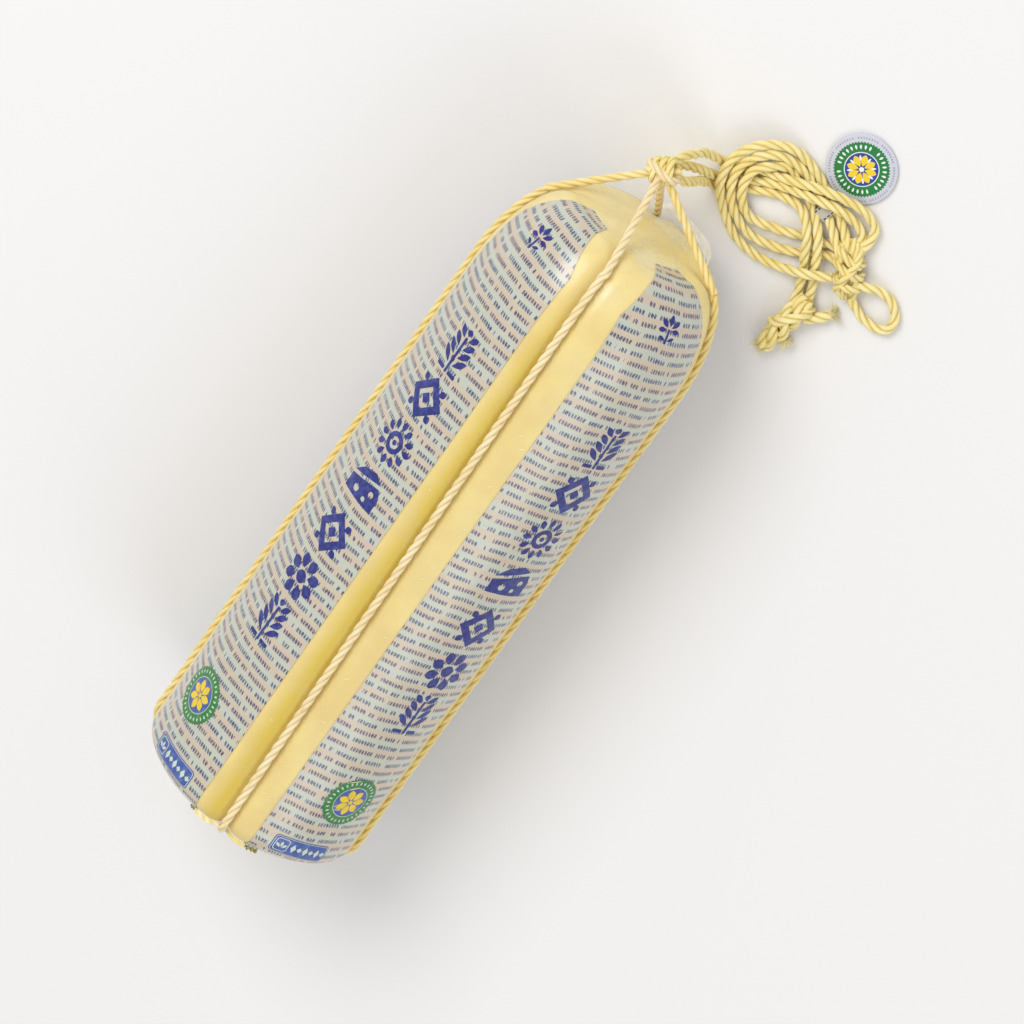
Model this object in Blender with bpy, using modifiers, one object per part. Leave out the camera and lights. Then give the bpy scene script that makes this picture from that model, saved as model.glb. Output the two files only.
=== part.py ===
"""A long provolone cheese in its tight film, lying on its side.

Four ropes run lengthwise in grooves and meet in an apex knot past the top end.
From that knot the hanging rope falls to the surface beside the cheese, where it
lies in a loose coil with its knots, a bow loop, a tail and a round seal.

Metres, +Z up. X runs along the cheese towards its top end, and Z is 0 on the
surface that it lies on. Run with: blender --background --python part.py
"""

import bpy
import bmesh
from math import atan2, cos, exp, hypot, pi, radians, sin
from mathutils import Vector

COLLECTION_NAME = "long_provolone_cheese"
MERGE_DISTANCE = 0.00002
GAP = 0.0003

# The cheese: a log turned about its own axis, with a flat where it lies.
BODY_RADIUS = 0.063
AXIS_HEIGHT = 0.061
BOTTOM_X = -0.2055
TOP_X = 0.1735
TOP_ROUND_LENGTH = 0.060
TOP_ROUND_DEPTH = 0.026
BOTTOM_ROUND_LENGTH = 0.012
BOTTOM_ROUND_DEPTH = 0.014
END_DOME = 0.0015
SECTION_STEPS = 80
SIDE_RINGS = 7
TOP_ROUND_RINGS = 9
BOTTOM_ROUND_RINGS = 4
END_FACE_RINGS = 3

# The ropes that bind it, each pressed into a groove of its own.
ROPE_DIAMETER = 0.0044
ROPE_RADIUS = ROPE_DIAMETER / 2
ROPE_CLEARANCE = 0.0007
SINK_FREE = 0.0005
SINK_UNDER = BODY_RADIUS - AXIS_HEIGHT + ROPE_RADIUS + GAP
GROOVE_WIDTH = 0.0075
GROOVE_WIDTH_UNDER = 0.0060
FRONT_DRIFT = radians(4.5)
CROSSING_RISE = ROPE_DIAMETER + GAP
CROSSING_REACH = 0.008
ROPE_STEP = 0.020
CROSSING_STEP = 0.0035
LEAVES_SKIN = {"front": 0.003, "left": 0.003, "under": 0.0008, "right": 0.0008}
GROOVE_FADES_X = TOP_X - 0.005
GROOVE_FADES = (0.031, 0.040)
ROPE_SIDES_RESOLUTION = 2

KNOT_SEGMENTS = 16
KNOT_RINGS = 8

# The apex knot, where the four ropes meet. Its far side and the rope that crosses
# the bottom end are equally far from the middle of the part.
APEX_KNOT_RADII = (0.0080, 0.0085, 0.0090)
BOTTOM_REACH = BOTTOM_X - END_DOME + SINK_FREE - CROSSING_RISE - ROPE_RADIUS
APEX = Vector((-BOTTOM_REACH - APEX_KNOT_RADII[0], 0.009, 0.058))

# The knots of the hanging rope: middle, half sizes, and turn about Z.
MAIN_KNOT = (Vector((0.2010, -0.0950, 0.0070)), (0.0150, 0.0062, 0.0066), radians(31))
TAIL_KNOT = (Vector((0.1600, -0.0850, 0.0066)), (0.0140, 0.0066, 0.0063), radians(-8))

# Routes of the hanging rope's strands, in millimetres, chosen by hand. Three strands
# come down from the apex knot, pass under the coil's bend and run on beyond it.
# Three more make the coil's bend. They lie on the surface or on one another.
ROUTES = {
    "hanging_strand_1": [
        (206, 9, 56), (206.5, 5, 44), (206, 0.5, 33), (204, -5, 22), (201, -10.5, 9),
        (201, -17, 3), (206.5, -25, 3), (215, -41, 4), (221, -57.5, 8.5),
        (224.5, -76, 7.8), (220, -89.5, 3), (211, -93, 4),
    ],
    "hanging_strand_2": [
        (205, 8, 57), (203.5, -0.5, 50), (201.5, -5, 38), (198.5, -8.5, 20),
        (195.5, -11.5, 8), (195.5, -16.5, 2.5), (198, -22, 2.5), (202.5, -28, 2.5),
        (210.5, -44, 2.5), (212.5, -58, 6), (204.5, -67.5, 9.5), (193.5, -73, 7.3),
        (187, -76, 3.6), (176, -80.5, 2.5), (166, -83, 5),
    ],
    "hanging_strand_3": [
        (208, 9, 57), (213, 5, 46), (213.5, 1, 34), (213, -2, 23), (210, -7.5, 10.5),
        (208.5, -14, 3), (211.5, -20.5, 3), (215.5, -28, 3), (218.5, -37, 4.3),
        (222.5, -46.5, 7.5), (229, -64.5, 8.5), (231.5, -83, 6.5), (226.5, -95, 3.5),
        (219, -96.5, 4),
    ],
    "coil_strand_1": [
        (208, -91, 7), (213.5, -84.5, 5), (220, -75.5, 2.5), (227.5, -62.5, 2.5),
        (233, -50, 2.5), (236, -37, 6.5), (229, -23.5, 8.3), (215.5, -15.5, 9.2), (200.5, -17, 9.5),
        (188.5, -26, 6), (179.5, -38.5, 3.5), (177.5, -54, 3.5), (181.5, -68.5, 5.5),
        (186, -77, 9.3), (189.5, -84, 9.4), (193, -91, 8.5),
    ],
    "coil_strand_2": [
        (203, -91, 9.5), (208.3, -83, 7.2), (216.2, -71.5, 3.2), (223.5, -59.5, 3), (229, -46.5, 3.5),
        (229, -32.5, 8), (218.5, -22.5, 8), (206, -21, 8), (193.5, -28, 6),
        (185, -41, 2.5), (186, -55.5, 2.5), (192.5, -71.5, 2.5), (199, -81, 2.5),
        (200.5, -92, 4),
    ],
    "coil_strand_3": [
        (166, -88, 5), (180, -86, 3), (187, -82, 3.5), (194.5, -79.5, 7),
        (207, -72.5, 8), (215.5, -62.5, 3), (222, -49.5, 2.5), (224.8, -43, 3),
        (224.5, -36.5, 6.5), (215.5, -27.5, 8.5), (202.5, -28.5, 8),
        (192.5, -38.5, 3.5), (195, -53, 2.5), (200.5, -67, 2.5), (204.5, -79, 2.5),
        (206.5, -90, 3),
    ],
    "bow_loop": [
        (196, -99, 6.5), (198.5, -107, 6.5), (200.5, -114, 4.5), (199.5, -120.5, 3),
        (196.5, -125.5, 2.5), (191.5, -129, 2.5), (186.5, -129, 2.5), (183, -125, 2.5),
        (182.5, -118.5, 2.5), (184, -112, 3), (189, -104, 5),
    ],
    "tail_end": [(152, -83.5, 5), (146, -82.5, 4), (139, -81, 3)],
    "tail_stub": [(165, -92, 5), (171, -98.5, 3.5), (177.5, -103.5, 2.7)],
}
ROUTE_STEP = 0.0105
LOWEST_MIDDLE = ROPE_RADIUS + GAP

# The round seal, which lies flat, and the strip that ties it to the strands.
SEAL_MIDDLE = Vector((0.2467, -0.0710, 0))
SEAL_RADIUS = 0.0184
SEAL_THICKNESS = 0.0018
SEAL_EDGE = 0.0004
SEAL_STEPS = 48
STRIP_WIDTH = 0.0075
STRIP_THICKNESS = 0.0004
STRIP_ROUTE = [
    (0.2390, -0.0737, 0.0026), (0.2330, -0.0722, 0.0042), (0.2270, -0.0707, 0.0050),
    (0.2200, -0.0690, 0.0051),
]


def clear_scene():
    """Remove what the default scene holds."""
    for thing in list(bpy.data.objects):
        bpy.data.objects.remove(thing, do_unlink=True)


def new_collection(name, hidden=False):
    collection = bpy.data.collections.new(name)
    bpy.context.scene.collection.children.link(collection)
    collection.hide_render = hidden
    return collection


def material(name, colour, roughness, metallic=0.0):
    """A plain Principled material in a part's own colour."""
    made = bpy.data.materials.new(name)
    made.use_nodes = True
    shader = made.node_tree.nodes["Principled BSDF"]
    shader.inputs["Base Color"].default_value = (*colour, 1.0)
    shader.inputs["Roughness"].default_value = roughness
    shader.inputs["Metallic"].default_value = metallic
    made.diffuse_color = (*colour, 1.0)
    return made


def add_object(name, data, collection, finish=None):
    made = bpy.data.objects.new(name, data)
    collection.objects.link(made)
    if finish is not None:
        data.materials.clear()
        data.materials.append(finish)
    return made


def evaluated_mesh(source):
    """The object's mesh with its modifiers applied; the object itself is removed."""
    bpy.context.view_layer.update()
    graph = bpy.context.evaluated_depsgraph_get()
    mesh = bpy.data.meshes.new_from_object(source.evaluated_get(graph))
    mesh.transform(source.matrix_world)
    bpy.data.objects.remove(source, do_unlink=True)
    return mesh


def weld(mesh):
    """Merge doubled points and turn every face outwards."""
    work = bmesh.new()
    work.from_mesh(mesh)
    bmesh.ops.remove_doubles(work, verts=work.verts, dist=MERGE_DISTANCE)
    bmesh.ops.recalc_face_normals(work, faces=work.faces)
    work.to_mesh(mesh)
    work.free()
    return mesh


# ---------------------------------------------------------------- the cheese

def body_profile():
    """The log's outline from the middle of the bottom end to the middle of the top."""
    flat_bottom = BODY_RADIUS - BOTTOM_ROUND_DEPTH
    flat_top = BODY_RADIUS - TOP_ROUND_DEPTH
    points = []
    for i in range(END_FACE_RINGS):
        share = i / END_FACE_RINGS
        points.append((BOTTOM_X - END_DOME * (1 - share ** 2), flat_bottom * share))
    for i in range(BOTTOM_ROUND_RINGS + 1):
        turn = pi / 2 * i / BOTTOM_ROUND_RINGS
        points.append((
            BOTTOM_X + BOTTOM_ROUND_LENGTH * (1 - cos(turn)),
            flat_bottom + BOTTOM_ROUND_DEPTH * sin(turn),
        ))
    start = BOTTOM_X + BOTTOM_ROUND_LENGTH
    end = TOP_X - TOP_ROUND_LENGTH
    for i in range(1, SIDE_RINGS):
        points.append((start + (end - start) * i / SIDE_RINGS, BODY_RADIUS))
    for i in range(TOP_ROUND_RINGS + 1):
        turn = pi / 2 * i / TOP_ROUND_RINGS
        points.append((
            end + TOP_ROUND_LENGTH * sin(turn),
            flat_top + TOP_ROUND_DEPTH * cos(turn),
        ))
    for i in range(END_FACE_RINGS - 1, -1, -1):
        share = i / END_FACE_RINGS
        points.append((TOP_X + END_DOME * (1 - share ** 2), flat_top * share))
    return points


def rope_angle(rope, x):
    """Angle about the axis, 0 straight up, at which a rope runs. The front one drifts."""
    share = (x - BOTTOM_X) / (TOP_X - BOTTOM_X)
    if rope == "front":
        return FRONT_DRIFT * (share - 0.25)
    return {"left": pi / 2, "under": pi, "right": -pi / 2}[rope]


def rope_sink(rope, height_share):
    """How far a rope's middle lies inside the log's turned outline."""
    if rope == "under":
        return SINK_FREE + (SINK_UNDER - SINK_FREE) * height_share
    return SINK_FREE


def groove_depth(point):
    """How far the ropes press in the log's skin at a point of it."""
    across, up = point.y, point.z - AXIS_HEIGHT
    radius = hypot(across, up)
    if radius < 1e-6:
        return ROPE_RADIUS + ROPE_CLEARANCE + SINK_FREE if point.x < 0 else 0.0
    angle = atan2(across, up)
    deepest = 0.0
    for rope in ("front", "left", "under", "right"):
        turn = angle - rope_angle(rope, point.x)
        turn = (turn + pi) % (2 * pi) - pi
        if abs(turn) > pi / 2:
            continue
        side = min(radius / BODY_RADIUS, 1.0) ** 6
        width = GROOVE_WIDTH_UNDER if rope == "under" else GROOVE_WIDTH
        depth = ROPE_RADIUS + ROPE_CLEARANCE + rope_sink(rope, side)
        if point.x > GROOVE_FADES_X:
            inner, outer = GROOVE_FADES
            depth *= min(max((radius - inner) / (outer - inner), 0.0), 1.0)
        deepest = max(deepest, depth * exp(-(radius * sin(turn) / width) ** 2))
    return deepest


def make_cheese(collection, finish):
    """Turn the outline about X, press the ropes' grooves in, and flatten the underside."""
    outline = bpy.data.meshes.new("body_outline")
    points = [Vector((x, 0, radius)) for x, radius in body_profile()]
    edges = [(i, i + 1) for i in range(len(points) - 1)]
    outline.from_pydata(points, edges, [])
    log = add_object("body_outline", outline, collection)
    screw = log.modifiers.new("turn", "SCREW")
    screw.axis = "X"
    screw.steps = SECTION_STEPS
    screw.render_steps = SECTION_STEPS
    screw.use_merge_vertices = True
    screw.merge_threshold = MERGE_DISTANCE
    log.location.z = AXIS_HEIGHT
    mesh = weld(evaluated_mesh(log))
    mesh.name = "cheese"
    inward = [(vertex.index, vertex.normal.copy()) for vertex in mesh.vertices]
    for index, normal in inward:
        vertex = mesh.vertices[index]
        vertex.co -= normal * groove_depth(vertex.co)
        vertex.co.z = max(vertex.co.z, 0.0)
    return add_object("cheese", mesh, collection, finish)


# ----------------------------------------------------------------- the ropes

def skin_path(rope, rise=0.0):
    """A rope's middle line on the log, from the top shoulder to the bottom's middle.

    The rope that crosses over the other at the bottom rises there by the given height.
    """
    top_x = TOP_X - LEAVES_SKIN[rope]
    corners = [point for point in reversed(body_profile()) if point[0] < top_x]
    line = []
    for (x0, r0), (x1, r1) in zip(corners, corners[1:]):
        length = hypot(x1 - x0, r1 - r0)
        normal = Vector((-(r1 - r0), x1 - x0)) / -length
        step = CROSSING_STEP if r1 < BODY_RADIUS / 3 and x1 < BOTTOM_X else ROPE_STEP
        pieces = max(1, round(length / step))
        for i in range(pieces):
            share = i / pieces
            line.append((x0 + (x1 - x0) * share, r0 + (r1 - r0) * share, normal))
    points = []
    for x, radius, normal in line:
        out = -rope_sink(rope, min(radius / BODY_RADIUS, 1.0) ** 6)
        if x < BOTTOM_X:
            out += rise * exp(-(radius / CROSSING_REACH) ** 2)
        x_line, r_line = x + normal[0] * out, radius + normal[1] * out
        angle = rope_angle(rope, x)
        points.append(Vector((
            x_line, r_line * sin(angle), AXIS_HEIGHT + r_line * cos(angle),
        )))
    return points


def smooth_route(points, step):
    """Read points a step apart from a smooth curve through the route's own points."""
    ends = [points[0] * 2 - points[1]] + list(points) + [points[-1] * 2 - points[-2]]
    fine = []
    for a, b, c, d in zip(ends, ends[1:], ends[2:], ends[3:]):
        for i in range(12):
            t = i / 12
            fine.append(0.5 * (
                b * 2 + (c - a) * t + (a * 2 - b * 5 + c * 4 - d) * t ** 2
                + (b * 3 - a - c * 3 + d) * t ** 3
            ))
    fine.append(points[-1].copy())
    for point in fine:
        point.z = max(point.z, LOWEST_MIDDLE)
    lengths = [0.0]
    for a, b in zip(fine, fine[1:]):
        lengths.append(lengths[-1] + (b - a).length)
    count = max(2, round(lengths[-1] / step))
    route = []
    place = 0
    for i in range(count + 1):
        target = lengths[-1] * i / count
        while place < len(fine) - 2 and lengths[place + 1] < target:
            place += 1
        share = (target - lengths[place]) / (lengths[place + 1] - lengths[place])
        route.append(fine[place].lerp(fine[place + 1], share))
    return route


def make_tube(name, points, collection, finish):
    """A rope as a tube: a poly curve with a round bevel, then a mesh."""
    curve = bpy.data.curves.new(name, "CURVE")
    curve.dimensions = "3D"
    curve.bevel_depth = ROPE_RADIUS
    curve.bevel_resolution = ROPE_SIDES_RESOLUTION
    curve.use_fill_caps = True
    spline = curve.splines.new("POLY")
    spline.points.add(len(points) - 1)
    for slot, point in zip(spline.points, points):
        slot.co = (*point, 1.0)
    tube = add_object(name + "_line", curve, collection)
    mesh = weld(evaluated_mesh(tube))
    mesh.name = name
    return add_object(name, mesh, collection, finish)


def make_knot(name, middle, radii, turn, collection, finish, grow=0.0):
    """A knot's outer lump: a sphere drawn out along its own length."""
    bpy.ops.mesh.primitive_uv_sphere_add(
        segments=KNOT_SEGMENTS, ring_count=KNOT_RINGS, radius=1.0, location=middle,
        rotation=(0, 0, turn), scale=[radius + grow for radius in radii],
    )
    ball = bpy.context.object
    mesh = evaluated_mesh(ball)
    mesh.name = name
    return add_object(name, mesh, collection, finish)


def cut_by(piece, cutter):
    """Take a cutter's shape out of a piece."""
    cut = piece.modifiers.new("cut_" + cutter.name, "BOOLEAN")
    cut.operation = "DIFFERENCE"
    cut.solver = "EXACT"
    cut.object = cutter


def make_binding_ropes(collection, finish, apex_cutter):
    """Two ropes bind the log: one over the top and under, one round both sides."""
    ropes = []
    for name, first, second, rise in (
        ("binding_rope_upright", "front", "under", 0.0),
        ("binding_rope_level", "left", "right", CROSSING_RISE),
    ):
        centre = Vector((BOTTOM_X - END_DOME + SINK_FREE - rise, 0, AXIS_HEIGHT))
        there = [APEX.copy()] + skin_path(first, rise)
        back = list(reversed(skin_path(second, rise))) + [APEX.copy()]
        line = there + [centre] + back
        tube = make_tube(name, line, collection, finish)
        cut_by(tube, apex_cutter)
        ropes.append(tube)
    return ropes


def make_hanging_rope(collection, finish, cutters):
    """Every strand along its route, cut back to the knots that it runs into."""
    for name, route in ROUTES.items():
        points = [Vector(point) / 1000 for point in route]
        tube = make_tube(name, smooth_route(points, ROUTE_STEP), collection, finish)
        for cutter in cutters:
            cut_by(tube, cutter)


# ------------------------------------------------------------------ the seal

def make_seal(collection, finish):
    """A flat disc with softened edges, turned from its outline."""
    outline = bpy.data.meshes.new("seal_outline")
    points = [
        Vector((0, 0, 0)),
        Vector((SEAL_RADIUS - SEAL_EDGE, 0, 0)),
        Vector((SEAL_RADIUS, 0, SEAL_EDGE)),
        Vector((SEAL_RADIUS, 0, SEAL_THICKNESS - SEAL_EDGE)),
        Vector((SEAL_RADIUS - SEAL_EDGE, 0, SEAL_THICKNESS)),
        Vector((0, 0, SEAL_THICKNESS)),
    ]
    outline.from_pydata(points, [(i, i + 1) for i in range(len(points) - 1)], [])
    disc = add_object("seal_outline", outline, collection)
    screw = disc.modifiers.new("turn", "SCREW")
    screw.axis = "Z"
    screw.steps = SEAL_STEPS
    screw.render_steps = SEAL_STEPS
    screw.use_merge_vertices = True
    screw.merge_threshold = MERGE_DISTANCE
    disc.location = SEAL_MIDDLE
    mesh = weld(evaluated_mesh(disc))
    mesh.name = "seal_disc"
    return add_object("seal_disc", mesh, collection, finish)


def make_strip(collection, finish):
    """A thin flat strip from the disc, up under the strands that cross it."""
    points = [Vector(point) for point in STRIP_ROUTE]
    run = (points[-1] - points[0]).to_2d().normalized()
    side = Vector((-run.y, run.x, 0)) * (STRIP_WIDTH / 2)
    verts = []
    for point in points:
        verts += [point - side, point + side]
    faces = []
    for i in range(len(points) - 1):
        faces.append((2 * i, 2 * i + 2, 2 * i + 3, 2 * i + 1))
    sheet = bpy.data.meshes.new("seal_strip")
    sheet.from_pydata(verts, [], faces)
    strip = add_object("seal_strip", sheet, collection, finish)
    wall = strip.modifiers.new("thickness", "SOLIDIFY")
    wall.thickness = STRIP_THICKNESS
    wall.offset = 0.0
    return strip


def main():
    clear_scene()
    parts = new_collection(COLLECTION_NAME)
    cutters = new_collection("cutters", hidden=True)
    cheese = material("waxed_cheese_in_film", (0.80, 0.66, 0.30), 0.35)
    binding = material("binding_rope", (0.86, 0.72, 0.38), 0.75)
    hanging = material("hanging_rope", (0.84, 0.70, 0.34), 0.75)
    card = material("seal_card", (0.62, 0.64, 0.66), 0.45)
    strip = material("seal_strip_foil", (0.42, 0.42, 0.42), 0.5)

    make_cheese(parts, cheese)
    make_knot("apex_knot", APEX, APEX_KNOT_RADII, 0.0, parts, binding)
    make_knot("main_knot", *MAIN_KNOT, parts, hanging)
    make_knot("tail_knot", *TAIL_KNOT, parts, hanging)
    apex_cutter = make_knot("apex_cutter", APEX, APEX_KNOT_RADII, 0.0, cutters, None, GAP)
    main_cutter = make_knot("main_cutter", *MAIN_KNOT, cutters, None, GAP)
    tail_cutter = make_knot("tail_cutter", *TAIL_KNOT, cutters, None, GAP)
    for cutter in (apex_cutter, main_cutter, tail_cutter):
        cutter.display_type = "WIRE"
        cutter.hide_render = True
    make_binding_ropes(parts, binding, apex_cutter)
    make_hanging_rope(parts, hanging, (apex_cutter, main_cutter, tail_cutter))
    make_seal(parts, card)
    make_strip(parts, strip)


main()
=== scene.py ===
from math import cos, degrees, exp, hypot, pi, radians, sin

import bmesh
import bpy
from mathutils import Matrix, Vector, noise


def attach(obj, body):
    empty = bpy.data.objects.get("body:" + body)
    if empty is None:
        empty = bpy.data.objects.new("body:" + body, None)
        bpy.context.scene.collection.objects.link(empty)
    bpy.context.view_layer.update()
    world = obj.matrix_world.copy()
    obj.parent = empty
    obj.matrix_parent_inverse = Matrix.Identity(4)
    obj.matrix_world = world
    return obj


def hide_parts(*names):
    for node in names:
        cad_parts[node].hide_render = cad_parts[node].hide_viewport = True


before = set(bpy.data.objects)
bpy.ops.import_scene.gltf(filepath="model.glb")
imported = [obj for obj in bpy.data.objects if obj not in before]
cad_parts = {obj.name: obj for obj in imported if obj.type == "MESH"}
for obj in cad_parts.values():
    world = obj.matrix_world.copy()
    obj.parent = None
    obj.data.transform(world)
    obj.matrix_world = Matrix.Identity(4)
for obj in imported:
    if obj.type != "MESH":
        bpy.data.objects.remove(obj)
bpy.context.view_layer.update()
scene = bpy.context.scene
MM = 0.001
# Fibres and unevenness come out the same each time.
noise.seed_set(4)

# ------------------------------------------------------------ camera and light

# The camera is 67 degrees above the table, on the side of the log's knotted end.
CAMERA_RISE = radians(67.0)
CAMERA_TURN = radians(54.5)
CAMERA_DISTANCE = 3.4
LENS = 235.3
MID_AXIS = Vector((-0.01705, 0.0, 0.061))
AIM_RIGHT = 0.0371
AIM_UP = 0.0037
LIT_MIDDLE = Vector((0.0, 0.0, 0.05))
STUDIO_WHITE = (1.0, 0.995, 0.985, 1.0)
STUDIO_STRENGTH = 0.665


def add_camera():
    back = Vector((cos(CAMERA_RISE), 0.0, sin(CAMERA_RISE)))
    along = Vector((sin(CAMERA_RISE), 0.0, -cos(CAMERA_RISE)))
    across = Vector((0.0, -1.0, 0.0))
    right = along * cos(CAMERA_TURN) + across * sin(CAMERA_TURN)
    up = along * sin(CAMERA_TURN) - across * cos(CAMERA_TURN)
    place = MID_AXIS + right * AIM_RIGHT + up * AIM_UP + back * CAMERA_DISTANCE
    data = bpy.data.cameras.new("camera")
    data.lens = LENS
    camera = bpy.data.objects.new("camera", data)
    scene.collection.objects.link(camera)
    turned = Matrix((right, up, back)).transposed().to_4x4()
    turned.translation = place
    camera.matrix_world = turned
    scene.camera = camera


def add_area(name, place, size, power):
    """A round soft light that faces the middle of the object."""
    data = bpy.data.lights.new(name, "AREA")
    data.shape = "DISK"
    data.size = size
    data.energy = power
    lamp = bpy.data.objects.new(name, data)
    scene.collection.objects.link(lamp)
    lamp.location = place
    lamp.rotation_euler = (LIT_MIDDLE - lamp.location).to_track_quat("-Z", "Y").to_euler()


def linear(hex_colour):
    """An sRGB hex colour as linear RGBA."""
    parts = [int(hex_colour[i:i + 2], 16) / 255 for i in (0, 2, 4)]
    return tuple(c / 12.92 if c <= 0.04045 else ((c + 0.055) / 1.055) ** 2.4 for c in parts) + (1.0,)


add_camera()
scene.view_settings.view_transform = "Standard"
scene.view_settings.look = "None"
world = bpy.data.worlds.new("studio")
scene.world = world
world.use_nodes = True
backdrop = world.node_tree.nodes["Background"]
backdrop.inputs["Color"].default_value = STUDIO_WHITE
backdrop.inputs["Strength"].default_value = STUDIO_STRENGTH
add_area("key", (1.5, 1.7, 2.7), 1.9, 60)
add_area("fill", (-1.1, -2.4, 2.4), 2.2, 24)


# ------------------------------------------------------------------- materials

MATH = "ShaderNodeMath"
MIX = "ShaderNodeMix"
NOISE = "ShaderNodeTexNoise"
RANGE = "ShaderNodeMapRange"
# A Mix node's inputs by number: the share of the second colour, and the two colours.
SHARE, FIRST, SECOND = 0, 6, 7
# A Map Range node's inputs by number.
VALUE, FROM_LOW, FROM_HIGH, TO_LOW, TO_HIGH = range(5)


def node(tree, kind, links, **settings):
    """Add a node with its settings, fill or link its inputs, and give its first live output."""
    made = tree.nodes.new(kind)
    for name, value in settings.items():
        setattr(made, name, value)
    for key, value in links.items():
        socket = made.inputs[key]
        if isinstance(value, bpy.types.NodeSocket):
            tree.links.new(value, socket)
        else:
            socket.default_value = value
    return next(output for output in made.outputs if output.enabled)


def new_material(name, colour, roughness, **more):
    """A material with a plain colour and roughness, its node tree and its shader."""
    made = bpy.data.materials.new(name)
    made.use_nodes = True
    shader = made.node_tree.nodes["Principled BSDF"]
    shader.inputs["Base Color"].default_value = linear(colour)
    shader.inputs["Roughness"].default_value = roughness
    for key, value in more.items():
        shader.inputs[key.replace("_", " ")].default_value = value
    return made, made.node_tree, shader


def rope_material(name, light, deep, groove_shade):
    """Laid natural fibre rope: matt, with fine fibres that follow each strand, and painted shade in the
    grooves between strands.
    """
    made, tree, shader = new_material(name, light, 0.72, Specular_IOR_Level=0.3)
    uv = node(tree, "ShaderNodeUVMap", {}, uv_map="lay")
    # Fibres about 0.3 mm wide and 6 mm long, drawn coarser than real ones so they show.
    stretch = node(tree, "ShaderNodeMapping", {"Vector": uv, "Scale": (160.0, 26.0, 1.0)})
    fibres = node(tree, NOISE, {"Vector": stretch, "Scale": 1.0, "Detail": 3.0})
    # Uneven dye in patches some 15 mm long.
    where = node(tree, "ShaderNodeTexCoord", {}).node.outputs["Object"]
    patches = node(tree, NOISE, {"Vector": where, "Scale": 70.0, "Detail": 2.0})
    patchy = node(tree, RANGE, {VALUE: patches, FROM_LOW: 0.35, FROM_HIGH: 0.65})
    tone = node(tree, MIX, {SHARE: patchy, FIRST: linear(light), SECOND: linear(deep)}, data_type="RGBA")
    streak = node(tree, RANGE, {VALUE: fibres, FROM_LOW: 0.35, FROM_HIGH: 0.7, TO_HIGH: 0.55})
    tone = node(tree, MIX, {SHARE: streak, FIRST: tone, SECOND: linear(deep)}, data_type="RGBA")
    # Painted shade: the grooves between strands and the cut ends are darkened towards the groove colour,
    # as far as the groove value says.
    depth = node(tree, "ShaderNodeAttribute", {}, attribute_name="groove_shade").node.outputs["Fac"]
    shade = {SHARE: depth, FIRST: tone, SECOND: linear(groove_shade)}
    tree.links.new(node(tree, MIX, shade, data_type="RGBA"), shader.inputs["Base Color"])
    bump = node(tree, "ShaderNodeBump", {"Height": fibres, "Strength": 0.55, "Distance": 0.0004})
    tree.links.new(bump, shader.inputs["Normal"])
    return made


# ------------------------------------------------------------------ mesh tools

# Points closer than this are one point.
MERGE_DISTANCE = 0.000005


def add_mesh(name, verts, faces, material):
    """A smooth-shaded piece from points in metres and faces."""
    mesh = bpy.data.meshes.new(name)
    mesh.from_pydata(verts, [], faces)
    mesh.materials.append(material)
    mesh.shade_smooth()
    piece = bpy.data.objects.new(name, mesh)
    scene.collection.objects.link(piece)
    return piece


def finish_piece(piece, slot, *replaced):
    """Hand a piece to the frame: it rides on the object and hides the parts it replaces; the slot is not
    used.
    """
    work = bmesh.new()
    work.from_mesh(piece.data)
    bmesh.ops.remove_doubles(work, verts=work.verts, dist=MERGE_DISTANCE)
    work.to_mesh(piece.data)
    work.free()
    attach(piece, "root")
    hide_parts(*replaced)
    return piece


def join_into(name, pieces):
    """Join pieces into the first of them, under a new name."""
    bpy.ops.object.select_all(action="DESELECT")
    for piece in pieces:
        piece.select_set(True)
    bpy.context.view_layer.objects.active = pieces[0]
    if len(pieces) > 1:
        bpy.ops.object.join()
    pieces[0].name = name
    return pieces[0]


CURVE_STEPS = 12


def smooth_route(points, step, lowest=None):
    """Points a step apart on a smooth curve through the given ones."""
    points = [Vector(p) for p in points]
    ends = [points[0] * 2 - points[1]] + points + [points[-1] * 2 - points[-2]]
    fine = []
    for a, b, c, d in zip(ends, ends[1:], ends[2:], ends[3:]):
        for i in range(CURVE_STEPS):
            t = i / CURVE_STEPS
            fine.append(0.5 * (
                b * 2 + (c - a) * t + (a * 2 - b * 5 + c * 4 - d) * t ** 2
                + (b * 3 - a - c * 3 + d) * t ** 3
            ))
    fine.append(points[-1].copy())
    if lowest is not None:
        for point in fine:
            point.z = max(point.z, lowest)
    lengths = [0.0]
    for a, b in zip(fine, fine[1:]):
        lengths.append(lengths[-1] + (b - a).length)
    count = max(2, round(lengths[-1] / step))
    route = []
    place = 0
    for i in range(count + 1):
        target = lengths[-1] * i / count
        while place < len(fine) - 2 and lengths[place + 1] < target:
            place += 1
        span = max(lengths[place + 1] - lengths[place], 1e-9)
        route.append(fine[place].lerp(fine[place + 1], (target - lengths[place]) / span))
    return route


ROPE_SIDES = 24
ROPE_STEP = 0.0009
STRANDS = 3
STRAND_OUT = 0.44
STRAND_RADIUS = 0.56
# The rope's strands turn once in 22 mm along it.
ROPE_LAY = 0.022
# Laid rope is a little uneven: it swells by 5% and wanders by an eighth of a millimetre,
# in patches some 6 mm and 11 mm long.
SWELL = 0.05
SWELL_DENSITY = 160
WANDER = 0.00012
WANDER_DENSITY = 90
# A cut end is drawn in to a quarter of the rope's size.
CUT_END = 0.25
# The outline's radius where a groove starts to shade, and how much lower its floor lies.
GROOVE_EDGE = 0.86
GROOVE_FALL = 0.22
# The painted shade on the rope's cut ends.
END_SHADE = 0.6


def strand_radius(angle):
    """Outline of three strands side by side, 1 at each strand's crown."""
    turn = (angle + pi / STRANDS) % (2 * pi / STRANDS) - pi / STRANDS
    return STRAND_OUT * cos(turn) + (STRAND_RADIUS ** 2 - (STRAND_OUT * sin(turn)) ** 2) ** 0.5


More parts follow.
